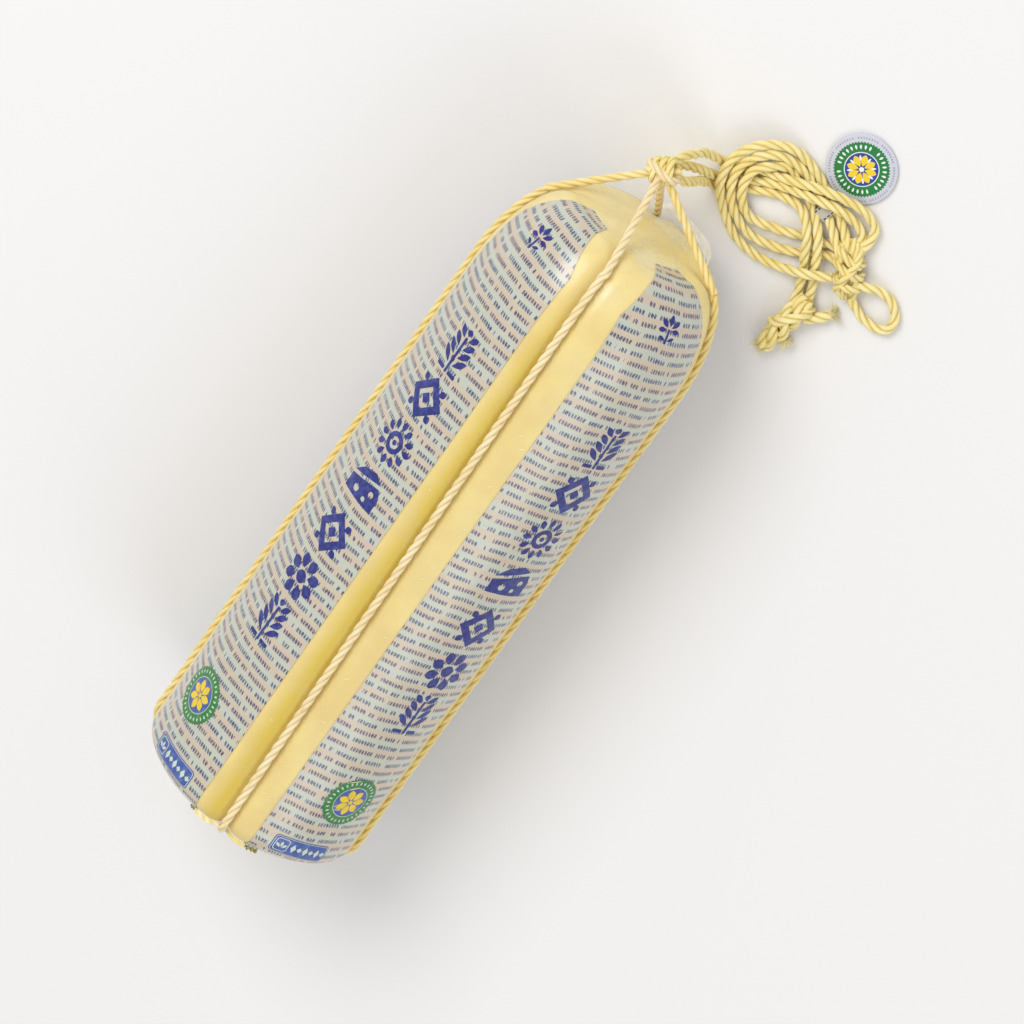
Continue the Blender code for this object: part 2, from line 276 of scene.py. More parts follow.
def drawn_in(share, taper):
    """How thick a rope is at a share of its length, next to its full size."""
    size = 1.0
    for to_end, reach in ((share, taper[0]), (1 - share, taper[1])):
        if to_end < reach:
            size *= (to_end / reach) ** 0.5 * (1 - CUT_END) + CUT_END
    return size


def make_rope(name, route, radius, material, lay=ROPE_LAY, phase=0.0, taper=(0, 0)):
    """Sweep the three-strand outline along a route, turning once each lay length."""
    tangents = []
    for i in range(len(route)):
        tangents.append((route[min(i + 1, len(route) - 1)] - route[max(i - 1, 0)]).normalized())
    side = tangents[0].orthogonal().normalized()
    verts, grooves, along = [], [], []
    gone = 0.0
    for i, point in enumerate(route):
        if i:
            gone += (point - route[i - 1]).length
            side = (tangents[i - 1].rotation_difference(tangents[i])) @ side
        side = (side - tangents[i] * side.dot(tangents[i])).normalized()
        other = tangents[i].cross(side)
        twist = phase + 2 * pi * gone / lay
        swell = 1 + SWELL * noise.noise(point * SWELL_DENSITY)
        size = radius * drawn_in(i / (len(route) - 1), taper) * swell
        shift = noise.noise_vector(point * WANDER_DENSITY) * WANDER
        for k in range(ROPE_SIDES):
            angle = 2 * pi * k / ROPE_SIDES
            out = strand_radius(angle) * size
            turn = angle + twist
            verts.append(point + shift + side * (cos(turn) * out) + other * (sin(turn) * out))
            # How much painted shade this point of the outline takes, most in the grooves between strands.
            grooves.append(max(0.0, (GROOVE_EDGE - strand_radius(angle)) / GROOVE_FALL))
        along.append(gone)
    faces = []
    for i in range(len(route) - 1):
        for k in range(ROPE_SIDES):
            m = (k + 1) % ROPE_SIDES
            a, b = i * ROPE_SIDES, (i + 1) * ROPE_SIDES
            faces.append((a + k, a + m, b + m, b + k))
    first, last = len(verts), len(verts) + 1
    verts += [route[0], route[-1]]
    grooves += [END_SHADE, END_SHADE]
    end = (len(route) - 1) * ROPE_SIDES
    for k in range(ROPE_SIDES):
        m = (k + 1) % ROPE_SIDES
        faces.append((first, m, k))
        faces.append((last, end + k, end + m))
    piece = add_mesh(name, verts, faces, material)
    mesh = piece.data
    depth = mesh.attributes.new("groove_shade", "FLOAT", "POINT")
    for i, value in enumerate(grooves):
        depth.data[i].value = min(value, 1.0)
    layer = mesh.uv_layers.new(name="lay")
    for polygon in mesh.polygons:
        ring = polygon.index // ROPE_SIDES
        k = polygon.index % ROPE_SIDES
        if ring < len(route) - 1:
            spots = ((ring, k), (ring, k + 1), (ring + 1, k + 1), (ring + 1, k))
        else:
            spots = ((0, k), (0, k), (0, k))
        for loop, (row, column) in zip(polygon.loop_indices, spots):
            layer.data[loop].uv = (along[row], column / ROPE_SIDES)
    return piece


# -------------------------------------------------------------------- the body

BODY_RADIUS = 0.063
AXIS_HEIGHT = 0.061
BOTTOM_X = -0.2055
TOP_X = 0.1735
TOP_ROUND_LENGTH = 0.060
TOP_ROUND_DEPTH = 0.026
BOTTOM_ROUND_LENGTH = 0.012
BOTTOM_ROUND_DEPTH = 0.014
END_DOME = 0.0015
ROPE_RADIUS = 0.0022
GAP = 0.0003
SINK_FREE = 0.0005
SINK_UNDER = BODY_RADIUS - AXIS_HEIGHT + ROPE_RADIUS + GAP
FRONT_DRIFT = radians(4.5)
CROSSING_RISE = ROPE_RADIUS * 2 + GAP
CROSSING_REACH = 0.008
LEAVES_SKIN = {"front": 0.003, "left": 0.003, "under": 0.0008, "right": 0.0008}
APEX = Vector((0.2054, 0.009, 0.058))
RING_STEP = 0.0014
END_RING_STEP = RING_STEP * 1.6
BOTTOM_RINGS = 18
SHOULDER_RINGS = 52


def body_profile():
    """The log's outline (x, radius) from the bottom end's middle to the top's."""
    flat_bottom = BODY_RADIUS - BOTTOM_ROUND_DEPTH
    flat_top = BODY_RADIUS - TOP_ROUND_DEPTH
    points = []
    rings = round(flat_bottom / END_RING_STEP)
    for i in range(rings):
        share = i / rings
        points.append((BOTTOM_X - END_DOME * (1 - share ** 2), flat_bottom * share))
    for i in range(BOTTOM_RINGS + 1):
        turn = pi / 2 * i / BOTTOM_RINGS
        points.append((
            BOTTOM_X + BOTTOM_ROUND_LENGTH * (1 - cos(turn)),
            flat_bottom + BOTTOM_ROUND_DEPTH * sin(turn),
        ))
    start = BOTTOM_X + BOTTOM_ROUND_LENGTH
    end = TOP_X - TOP_ROUND_LENGTH
    rings = round((end - start) / RING_STEP)
    for i in range(1, rings):
        points.append((start + (end - start) * i / rings, BODY_RADIUS))
    for i in range(SHOULDER_RINGS + 1):
        turn = pi / 2 * i / SHOULDER_RINGS
        points.append((
            end + TOP_ROUND_LENGTH * sin(turn),
            flat_top + TOP_ROUND_DEPTH * cos(turn),
        ))
    rings = round(flat_top / END_RING_STEP)
    for i in range(rings - 1, -1, -1):
        share = i / rings
        points.append((TOP_X + END_DOME * (1 - share ** 2), flat_top * share))
    return points


PROFILE = body_profile()
MERIDIAN = [0.0]
for one, two in zip(PROFILE, PROFILE[1:]):
    MERIDIAN.append(MERIDIAN[-1] + hypot(two[0] - one[0], two[1] - one[1]))
# Meridian length where the outline reaches its full radius at the bottom.
BARREL_START = next(m for m, (x, r) in zip(MERIDIAN, PROFILE) if r > BODY_RADIUS - 1e-6)
END_LENGTH = MERIDIAN[-1]


def barrel(x):
    """Meridian length of a place on the straight part of the log."""
    return BARREL_START + x - (BOTTOM_X + BOTTOM_ROUND_LENGTH)


def outline_at(length):
    """(x, radius, outward normal in the outline's plane) at a meridian length."""
    length = min(max(length, 0.0), END_LENGTH)
    low_i, high_i = 0, len(MERIDIAN) - 1
    while high_i - low_i > 1:
        middle = (low_i + high_i) // 2
        if MERIDIAN[middle] <= length:
            low_i = middle
        else:
            high_i = middle
    (x0, r0), (x1, r1) = PROFILE[low_i], PROFILE[high_i]
    share = (length - MERIDIAN[low_i]) / (MERIDIAN[high_i] - MERIDIAN[low_i])
    dx, dr = x1 - x0, r1 - r0
    size = hypot(dx, dr)
    return x0 + dx * share, r0 + dr * share, (-dr / size, dx / size)


# Where the four ropes run round the log. The front one drifts a little to one side.
ROPE_TURNS = {"left": pi / 2, "under": pi, "right": -pi / 2}
FRONT_START = 0.25
GROOVE_WIDTH = 0.0050
# At the top's face the grooves start at this radius and deepen over the next 9 mm.
FADE_FROM_X = TOP_X - 0.005
FADE_INNER = 0.031
FADE_REACH = 0.009
# The rope underneath is pressed in further, on the barrel most and little on the ends.
SINK_POWER = 6
# The film is a little uneven: broad dents every 35 mm or so and fine ones every 9 mm.
BROAD_DENT = 0.00035
BROAD_DENSITY = 28
FINE_DENT = 0.00012
FINE_DENSITY = 110
TABLE_GAP = 0.0002


def rope_angle(rope, x):
    """Where a rope lies round the log, from its top."""
    if rope == "front":
        return FRONT_DRIFT * ((x - BOTTOM_X) / (TOP_X - BOTTOM_X) - FRONT_START)
    return ROPE_TURNS[rope]


def rope_sink(rope, radius):
    """How far a rope's middle lies under the outline at a radius."""
    if rope == "under":
        return SINK_FREE + (SINK_UNDER - SINK_FREE) * min(radius / BODY_RADIUS, 1.0) ** SINK_POWER
    return SINK_FREE


def groove_depth(x, radius, angle):
    """How far the skin is pressed in beside the ropes."""
    deepest = 0.0
    for rope in ("front", "left", "under", "right"):
        turn = (angle - rope_angle(rope, x) + pi) % (2 * pi) - pi
        if abs(turn) > pi / 2:
            continue
        depth = ROPE_RADIUS + GAP + rope_sink(rope, radius)
        if x > FADE_FROM_X:
            depth *= min(max((radius - FADE_INNER) / FADE_REACH, 0.0), 1.0)
        deepest = max(deepest, depth * exp(-(radius * sin(turn) / GROOVE_WIDTH) ** 2))
    return deepest


def skin(length, angle, lift=0.0):
    """A point of the skin, lifted off it by a given height."""
    x, radius, (nx, nr) = outline_at(length)
    spot = Vector((x, radius * sin(angle), radius * cos(angle)))
    depth = groove_depth(x, radius, angle)
    depth += BROAD_DENT * (1 + noise.noise(spot * BROAD_DENSITY))
    depth += FINE_DENT * (1 + noise.noise(spot * FINE_DENSITY))
    out = lift - depth
    r_at = radius + nr * out
    point = Vector((x + nx * out, r_at * sin(angle), AXIS_HEIGHT + r_at * cos(angle)))
    point.z = max(point.z, TABLE_GAP + lift)
    return point


AROUND = 288


def make_skin(name, lift, material, every=1):
    """The log's surface, as rings round its axis with both ends closed."""
    verts = [skin(0.0, 0.0, lift)]
    rows = list(range(1, len(MERIDIAN) - 1, every))
    for i in rows:
        for k in range(AROUND):
            verts.append(skin(MERIDIAN[i], 2 * pi * k / AROUND, lift))
    verts.append(skin(END_LENGTH, 0.0, lift))
    faces = []
    for k in range(AROUND):
        faces.append((0, 1 + k, 1 + (k + 1) % AROUND))
    for j in range(len(rows) - 1):
        a, b = 1 + j * AROUND, 1 + (j + 1) * AROUND
        for k in range(AROUND):
            m = (k + 1) % AROUND
            faces.append((a + k, b + k, b + m, a + m))
    end = 1 + (len(rows) - 1) * AROUND
    for k in range(AROUND):
        faces.append((len(verts) - 1, end + (k + 1) % AROUND, end + k))
    piece = add_mesh(name, verts, faces, material)
    layer = piece.data.uv_layers.new(name="skin")
    # U is the angle in turns and V the meridian length in metres.
    for polygon in piece.data.polygons:
        corners = []
        for vertex in polygon.vertices:
            if vertex == 0:
                corners.append((None, 0.0))
            elif vertex == len(verts) - 1:
                corners.append((None, END_LENGTH))
            else:
                row, k = divmod(vertex - 1, AROUND)
                corners.append((k, MERIDIAN[rows[row]]))
        known = [k for k, _ in corners if k is not None]
        if max(known) - min(known) > AROUND / 2:
            corners = [(k + AROUND if k is not None and k < AROUND / 2 else k, v) for k, v in corners]
        middle = sum(k for k, _ in corners if k is not None) / len(known)
        for loop, (k, v) in zip(polygon.loop_indices, corners):
            layer.data[loop].uv = ((middle if k is None else k) / AROUND, v)
    return piece


# The print: rows of small leaf marks on a panel of thin white ink, in metres and in turns.
ROW_PITCH = 0.00535
MARK_PITCH = 0.00175
SPRIG_PITCH = 0.0155
ROW_SHIFT = 0.05
# As shares of a row's height, of a mark's pitch and of a sprig's length.
MARK_HEIGHT = 0.52
MARK_LEAN = 0.9
MARK_HALF = 0.31
MARK_WIDER = 0.18
STEM_LEAN = -0.8
STEM_HALF = 0.10
SPRIG_GAP = 0.15
# One mark in fourteen is missing.
MARKS_KEPT = 0.93
PANEL_HALF = 29.2 / 360
PRINT_START = 0.030
PRINT_END = END_LENGTH - 0.0290
PRINT_END_UNDER = END_LENGTH - 0.0530
CORNER_START = END_LENGTH - 0.068
SHOULDER_START = END_LENGTH - 0.109
SHOULDER_END = END_LENGTH - 0.037
SHOULDER_POWER = 2.2


def panel_mask(tree, turn, length):
    """1 inside the printed panels, and the place between a panel's two edges, -0.5 to 0.5."""
    turned = node(tree, MATH, {0: turn, 1: 4.0}, operation="MULTIPLY")
    quarter = node(tree, MATH, {0: turned}, operation="FRACT")
    across = node(tree, MATH, {0: quarter, 1: 0.5}, operation="SUBTRACT")
    off_middle = node(tree, MATH, {0: across}, operation="ABSOLUTE")
    off_turn = node(tree, MATH, {0: off_middle, 1: 4.0}, operation="DIVIDE")
    # The panels' edges, cut back towards the top's inner corners.
    corner = node(tree, RANGE, {
        VALUE: length, FROM_LOW: CORNER_START, FROM_HIGH: PRINT_END,
        TO_LOW: PANEL_HALF, TO_HIGH: PANEL_HALF / 2,
    })
    inside = node(tree, MATH, {0: off_turn, 1: corner}, operation="LESS_THAN")
    above = node(tree, MATH, {0: length, 1: PRINT_START}, operation="GREATER_THAN")
    # The two panels underneath end lower, short of the top's face.
    from_under = node(tree, MATH, {0: turn, 1: 0.5}, operation="SUBTRACT")
    far_round = node(tree, MATH, {0: from_under}, operation="ABSOLUTE")
    upper = node(tree, MATH, {0: far_round, 1: 0.25}, operation="GREATER_THAN")
    longer = {0: upper, 1: PRINT_END - PRINT_END_UNDER, 2: PRINT_END_UNDER}
    last = node(tree, MATH, longer, operation="MULTIPLY_ADD")
    below = node(tree, MATH, {0: length, 1: last}, operation="LESS_THAN")
    between = node(tree, MATH, {0: above, 1: below}, operation="MULTIPLY")
    return node(tree, MATH, {0: inside, 1: between}, operation="MULTIPLY"), across


def round_place(tree, across, row):
    """How far round the log a place is, in metres at its own row's radius, moved along by row."""
    # Each row keeps its marks' real width where the log narrows at either end.
    row_length = node(tree, MATH, {0: row, 1: ROW_PITCH}, operation="MULTIPLY")
    narrowing = {VALUE: row_length, FROM_LOW: SHOULDER_START, FROM_HIGH: SHOULDER_END}
    to_shoulder = node(tree, RANGE, narrowing)
    drop = node(tree, MATH, {0: to_shoulder, 1: SHOULDER_POWER}, operation="POWER")
    falling = {0: drop, 1: -TOP_ROUND_DEPTH, 2: BODY_RADIUS}
    shoulder = node(tree, MATH, falling, operation="MULTIPLY_ADD")
    on_face = node(tree, MATH, {0: END_LENGTH, 1: row_length}, operation="SUBTRACT")
    at_bottom = node(tree, MATH, {0: row_length, 1: shoulder}, operation="MINIMUM")
    radius = node(tree, MATH, {0: at_bottom, 1: on_face}, operation="MINIMUM")
    turns = node(tree, MATH, {0: across, 1: 4.0}, operation="DIVIDE")
    angle = node(tree, MATH, {0: turns, 1: 2 * pi}, operation="MULTIPLY")
    around = node(tree, MATH, {0: angle, 1: radius}, operation="MULTIPLY")
    shift = node(tree, "ShaderNodeTexWhiteNoise", {"W": row}, noise_dimensions="1D")
    return node(tree, MATH, {0: shift, 1: ROW_SHIFT, 2: around}, operation="MULTIPLY_ADD")


def leaf_marks(tree, uv, moved, row, rise):
    """The small marks: 1 on the ink, a little less where it is worn."""
    # Leaf marks 1.75 mm apart, each leaning its own way.
    cells = node(tree, MATH, {0: moved, 1: MARK_PITCH}, operation="DIVIDE")
    cell = node(tree, MATH, {0: cells}, operation="FLOOR")
    in_cell = node(tree, MATH, {0: cells}, operation="FRACT")
    place = node(tree, MATH, {0: in_cell, 1: 0.5}, operation="SUBTRACT")
    seed = node(tree, "ShaderNodeCombineXYZ", {0: cell, 1: row})
    chance = node(tree, "ShaderNodeTexWhiteNoise", {"Vector": seed}, noise_dimensions="3D")
    dice = node(tree, "ShaderNodeSeparateColor", {0: chance.node.outputs["Color"]}).node.outputs
    up = node(tree, MATH, {0: rise, 1: MARK_HEIGHT}, operation="DIVIDE")
    height = node(tree, MATH, {0: up, 1: 0.5}, operation="SUBTRACT")
    either = node(tree, MATH, {0: dice[0], 1: 0.5}, operation="SUBTRACT")
    tilt = node(tree, MATH, {0: either, 1: MARK_LEAN}, operation="MULTIPLY")
    leaning = node(tree, MATH, {0: height, 1: tilt, 2: place}, operation="MULTIPLY_ADD")
    doubled = node(tree, MATH, {0: height, 1: 2.0}, operation="MULTIPLY")
    to_tip = node(tree, MATH, {0: doubled}, operation="ABSOLUTE")
    squared = node(tree, MATH, {0: to_tip, 1: 2.0}, operation="POWER")
    bulge = node(tree, MATH, {0: 1.0, 1: squared}, operation="SUBTRACT")
    widest = node(tree, MATH, {0: dice[1], 1: MARK_WIDER, 2: MARK_HALF}, operation="MULTIPLY_ADD")
    width = node(tree, MATH, {0: bulge, 1: widest}, operation="MULTIPLY")
    off_leaf = node(tree, MATH, {0: leaning}, operation="ABSOLUTE")
    leaf = node(tree, MATH, {0: off_leaf, 1: width}, operation="LESS_THAN")
    stem_line = node(tree, MATH, {0: height, 1: STEM_LEAN, 2: place}, operation="MULTIPLY_ADD")
    off_stem = node(tree, MATH, {0: stem_line}, operation="ABSOLUTE")
    stem = node(tree, MATH, {0: off_stem, 1: STEM_HALF}, operation="LESS_THAN")
    either_one = node(tree, MATH, {0: leaf, 1: stem}, operation="MAXIMUM")
    low_band = node(tree, MATH, {0: rise, 1: MARK_HEIGHT}, operation="LESS_THAN")
    some = node(tree, MATH, {0: chance, 1: MARKS_KEPT}, operation="LESS_THAN")
    allowed = node(tree, MATH, {0: low_band, 1: some}, operation="MULTIPLY")
    mark = node(tree, MATH, {0: either_one, 1: allowed}, operation="MULTIPLY")
    # The marks stand in sprigs about 15 mm long, with 2.5 mm between them.
    sprigs = node(tree, MATH, {0: moved, 1: SPRIG_PITCH}, operation="DIVIDE")
    in_sprig = node(tree, MATH, {0: sprigs}, operation="FRACT")
    past_gap = node(tree, MATH, {0: in_sprig, 1: SPRIG_GAP}, operation="GREATER_THAN")
    mark = node(tree, MATH, {0: mark, 1: past_gap}, operation="MULTIPLY")
    wear = node(tree, NOISE, {"Vector": uv, "Scale": 420.0, "Detail": 2.0})
    thin_ink = {VALUE: wear, FROM_LOW: 0.3, FROM_HIGH: 0.6, TO_LOW: 0.5, TO_HIGH: 0.95}
    uneven = node(tree, RANGE, thin_ink)
    return node(tree, MATH, {0: mark, 1: uneven}, operation="MULTIPLY")


def film_material():
    """Clear glossy film with translucent white ink and small dark blue print."""
    made, tree, shader = new_material(
        "clear_film_gloss_with_print", "E3D08A", 0.34, Coat_Weight=0.6, Coat_Roughness=0.24,
    )
    uv = node(tree, "ShaderNodeUVMap", {}, uv_map="skin")
    turn, length = node(tree, "ShaderNodeSeparateXYZ", {0: uv}).node.outputs[:2]
    panel, across = panel_mask(tree, turn, length)
    # Rows run round the log, a little aslant, each moved along by its own amount.
    wave = node(tree, NOISE, {"Vector": uv, "Scale": 14.0, "Detail": 1.0})
    slanted = node(tree, MATH, {0: wave, 1: 0.004, 2: length}, operation="MULTIPLY_ADD")
    rows = node(tree, MATH, {0: slanted, 1: ROW_PITCH}, operation="DIVIDE")
    row = node(tree, MATH, {0: rows}, operation="FLOOR")
    rise = node(tree, MATH, {0: rows}, operation="FRACT")
    mark = leaf_marks(tree, uv, round_place(tree, across, row), row, rise)
    # The thin ink behind the marks is cooler and warmer in turn, row by row, and cloudy.
    phase = node(tree, MATH, {0: rows, 1: pi}, operation="MULTIPLY")
    swing = node(tree, MATH, {0: phase}, operation="SINE")
    stripe = node(tree, RANGE, {VALUE: swing, FROM_LOW: -0.5, FROM_HIGH: 0.5})
    tints = {SHARE: stripe, FIRST: linear("BCC3B8"), SECOND: linear("C9B8A4")}
    tint = node(tree, MIX, tints, data_type="RGBA")
    soft = node(tree, NOISE, {"Vector": uv, "Scale": 60.0, "Detail": 3.0})
    cloudy = node(tree, RANGE, {VALUE: soft, FROM_LOW: 0.35, FROM_HIGH: 0.7, TO_HIGH: 0.4})
    tint = node(tree, MIX, {SHARE: cloudy, FIRST: tint, SECOND: linear("CBC4A6")}, data_type="RGBA")
    inked = node(tree, MIX, {SHARE: mark, FIRST: tint, SECOND: linear("2C3868")}, data_type="RGBA")
    # The clear film is hazy in patches, most of all where it is drawn over the top's cap.
    where = node(tree, "ShaderNodeTexCoord", {}).node.outputs["Object"]
    hazy = node(tree, NOISE, {"Vector": where, "Scale": 48.0, "Detail": 5.0})
    patches = node(tree, RANGE, {VALUE: hazy, FROM_LOW: 0.48, FROM_HIGH: 0.66})
    near_cap = node(tree, RANGE, {
        VALUE: length, FROM_LOW: END_LENGTH - 0.10, FROM_HIGH: END_LENGTH - 0.04, TO_LOW: 0.35,
    })
    haze = node(tree, MATH, {0: patches, 1: near_cap}, operation="MULTIPLY")
    clears = {SHARE: haze, FIRST: linear("E3D08A"), SECOND: linear("F6F0D6")}
    clear = node(tree, MIX, clears, data_type="RGBA")
    colour = node(tree, MIX, {SHARE: panel, FIRST: clear, SECOND: inked}, data_type="RGBA")
    tree.links.new(colour, shader.inputs["Base Color"])
    thin = node(tree, MATH, {0: haze, 1: 0.28, 2: 0.14}, operation="MULTIPLY_ADD")
    dense = node(tree, MATH, {0: panel, 1: 0.98}, operation="MULTIPLY")
    alpha = node(tree, MATH, {0: dense, 1: thin}, operation="MAXIMUM")
    tree.links.new(alpha, shader.inputs["Alpha"])
    ripple = node(tree, NOISE, {"Vector": where, "Scale": 55.0, "Detail": 2.0})
    bump = node(tree, "ShaderNodeBump", {"Height": ripple, "Strength": 0.25, "Distance": 0.001})
    tree.links.new(bump, shader.inputs["Normal"])
    return made


def cheese_material():
    """Smooth waxy cheese rind, pale straw, with painted shade in deeper yellow along one side of each
    rope.
    """
    made, tree, shader = new_material(
        "cheese_rind_waxy", "E0CC85", 0.38,
        Subsurface_Weight=0.12, Subsurface_Radius=(0.004, 0.003, 0.001),
    )
    uv = node(tree, "ShaderNodeUVMap", {}, uv_map="skin")
    turn, length = node(tree, "ShaderNodeSeparateXYZ", {0: uv}).node.outputs[:2]
    where = node(tree, "ShaderNodeTexCoord", {}).node.outputs["Object"]
    mottle = node(tree, NOISE, {"Vector": where, "Scale": 45.0, "Detail": 4.0})
    blotch = node(tree, RANGE, {VALUE: mottle, FROM_LOW: 0.35, FROM_HIGH: 0.68})
    # The end's cap is the palest part: its rind is paler, and its colour is raised further as painted
    # light, since the end's face takes little light from the lamps.
    near_end = {VALUE: length, FROM_LOW: END_LENGTH - 0.085, FROM_HIGH: END_LENGTH - 0.03}
    cap = node(tree, RANGE, near_end)
    straws = {SHARE: blotch, FIRST: linear("E8D08C"), SECOND: linear("F0DE98")}
    straw = node(tree, MIX, straws, data_type="RGBA")
    caps = {SHARE: blotch, FIRST: linear("F6E4A0"), SECOND: linear("FBEFB8")}
    cap_tone_and_painted_light = node(tree, MIX, caps, data_type="RGBA")
    pale = node(tree, MIX, {SHARE: cap, FIRST: straw, SECOND: cap_tone_and_painted_light}, data_type="RGBA")
    # Painted shade beside each rope: a deeper yellow band on the side that turns from it, for the shade
    # where the skin dips into the rope's groove.
    turned = node(tree, MATH, {0: turn, 1: 4.0}, operation="MULTIPLY")
    quarter = node(tree, MATH, {0: turned}, operation="FRACT")
    rise = node(tree, RANGE, {VALUE: quarter, FROM_LOW: 0.0, FROM_HIGH: 0.035})
    falling = {VALUE: quarter, FROM_LOW: 0.075, FROM_HIGH: 0.165, TO_LOW: 1.0, TO_HIGH: 0.0}
    side = node(tree, MATH, {0: rise, 1: node(tree, RANGE, falling)}, operation="MULTIPLY")
    rope_shade_fade = node(tree, RANGE, {
        VALUE: length, FROM_LOW: END_LENGTH - 0.11, FROM_HIGH: END_LENGTH - 0.05,
        TO_LOW: 1.0, TO_HIGH: 0.0,
    })
    rope_shade_band = node(tree, MATH, {0: side, 1: rope_shade_fade}, operation="MULTIPLY")
    deep = node(tree, MATH, {0: rope_shade_band, 1: 0.92}, operation="MULTIPLY")
    # The band's deep yellow, D6BA30, is painted shade.
    colour_with_rope_shade = node(tree, MIX, {SHARE: deep, FIRST: pale, SECOND: linear("D6BA30")}, data_type="RGBA")
    tree.links.new(colour_with_rope_shade, shader.inputs["Base Color"])
    fine = node(tree, NOISE, {"Vector": where, "Scale": 160.0, "Detail": 3.0})
    bump = node(tree, "ShaderNodeBump", {"Height": fine, "Strength": 0.15, "Distance": 0.0006})
    tree.links.new(bump, shader.inputs["Normal"])
    return made


# -------------------------------------------------------------- flat artwork

# Outlines here are in millimetres: X runs round the log and Y up it.

def circle(radius, across=0.0, along=0.0, steps=28):
    turns = [2 * pi * i / steps for i in range(steps)]
    return [(across + radius * cos(turn), along + radius * sin(turn)) for turn in turns]


def petal(turn, inner, outer, width, across=0.0, along=0.0, steps=8):
    """A leaf that points away from a centre, widest a little beyond its middle."""
    right, left = [], []
    for i in range(steps + 1):
        share = i / steps
        out = inner + (outer - inner) * share
        half = width / 2 * sin(pi * share ** 1.2) ** 0.8 if 0 < share < 1 else 0.0
        for side, half_width in ((right, half), (left, -half)):
            side.append((
                across + out * cos(turn) - half_width * sin(turn),
                along + out * sin(turn) + half_width * cos(turn),
            ))
    return right + left[-2:0:-1]


def flower(count, inner, outer, width, start=0.0, steps=8, leave_out=0):
    """Petals all round a middle, with every so many left out."""
    kept = [i for i in range(count) if not leave_out or i % leave_out]
    return [petal(2 * pi * i / count + start, inner, outer, width, steps=steps) for i in kept]


def box_loop(width, height, corner, across=0.0, along=0.0):
    """A rectangle with round corners."""
    points = []
    for turn, sx, sy in ((0, 1, 1), (1, -1, 1), (2, -1, -1), (3, 1, -1)):
        for i in range(5):
            angle = pi / 2 * (turn + i / 4)
            points.append((
                across + sx * (width / 2 - corner) + corner * cos(angle),
                along + sy * (height / 2 - corner) + corner * sin(angle),
            ))
    return points


def toothed(radius, depth, teeth):
    """A disc with square teeth round it."""
    points = []
    for i in range(teeth * 4):
        out = radius - (depth if i % 4 in (2, 3) else 0.0)
        angle = 2 * pi * (i + 0.5) / (teeth * 4)
        points.append((out * cos(angle), out * sin(angle)))
    return points


def rhombus(width, height, across=0.0):
    half, tall = width / 2, height / 2
    return [(across + half, 0), (across, tall), (across - half, 0), (across, -tall)]


def rosette_art():
    return flower(8, 4.2, 11.6, 5.4, pi / 8) + [circle(3.2)]


def lozenge_art():
    return [rhombus(23, 23), rhombus(12.5, 12.5), rhombus(6, 6)] + flower(4, 7.6, 12.2, 3.4, pi / 4)


def sheaf_art():
    """An ear of grain with its stalk and two bars at its foot."""
    loops = [box_loop(1.5, 19.5, 0.5, along=-1.6), petal(pi / 2, 8.8, 12.4, 3.4)]
    for side in (1, -1):
        lean = pi / 2 - side * 0.85
        for step in range(4):
            loops.append(petal(lean, 0.3, 9.4 - 0.8 * step, 3.1, side * 1.5, -7.0 + 4.6 * step))
        loops.append(box_loop(5.4, 1.9, 0.5, side * 4.4, -10.2))
    return loops


def sun_art():
    return [circle(5.4), circle(3.0), circle(1.3)] + flower(12, 6.3, 11.5, 3.1)


def wedge_art():
    """A wedge of cheese with three holes, and its slice lifted off."""
    wedge = [(-11, -6.5), (11, -6.5), (11, 1.5), (8.5, 5.5), (-11, 0.8)]
    holes = [circle(1.9, -3.5, -2.6), circle(1.3, 3.6, -3.8), circle(1.6, 6.2, 0.6)]
    slice_off = [(-11, 2.6), (8.2, 7.4), (2.5, 10.2), (-5.5, 7.9)]
    return [wedge] + holes + [slice_off]


def sprig_art():
    loops = [petal(pi / 2, 1.8, 8.0, 3.0)]
    for side in (1, -1):
        loops.append(petal(pi / 2 - side * 0.85, 1.8, 7.8, 2.8))
        loops.append(petal(pi / 2 - side * 1.65, 1.8, 6.8, 2.6))
        loops.append(petal(pi / 2 - side * 1.15, 1.0, 5.4, 1.8, along=-6.0))
    loops.append(box_loop(1.3, 7.6, 0.4, along=-3.6))
    return loops


def flat_shape(name, loops, material, cell=2.2):
    """Fill closed outlines, with holes where they nest, in faces about a cell across."""
    curve = bpy.data.curves.new(name, "CURVE")
    curve.dimensions = "2D"
    curve.fill_mode = "BOTH"
    for loop in loops:
        spline = curve.splines.new("POLY")
        spline.points.add(len(loop) - 1)
        for corner, (across, along) in zip(spline.points, loop):
            corner.co = (across, along, 0.0, 1.0)
        spline.use_cyclic_u = True
    shape = bpy.data.objects.new(name, curve)
    scene.collection.objects.link(shape)
    bpy.ops.object.select_all(action="DESELECT")
    shape.select_set(True)
    bpy.context.view_layer.objects.active = shape
    bpy.ops.object.convert(target="MESH")
    shape = bpy.context.object
    if cell:
        reach = max(max(abs(a), abs(b)) for loop in loops for a, b in loop)
        count = int(reach / cell)
        work = bmesh.new()
        work.from_mesh(shape.data)
        for axis in (Vector((1, 0, 0)), Vector((0, 1, 0))):
            for i in range(-count, count + 1):
                everything = work.verts[:] + work.edges[:] + work.faces[:]
                bmesh.ops.bisect_plane(work, geom=everything, plane_co=axis * (i * cell), plane_no=axis)
        work.to_mesh(shape.data)
        work.free()
    shape.data.materials.clear()
    shape.data.materials.append(material)
    return shape


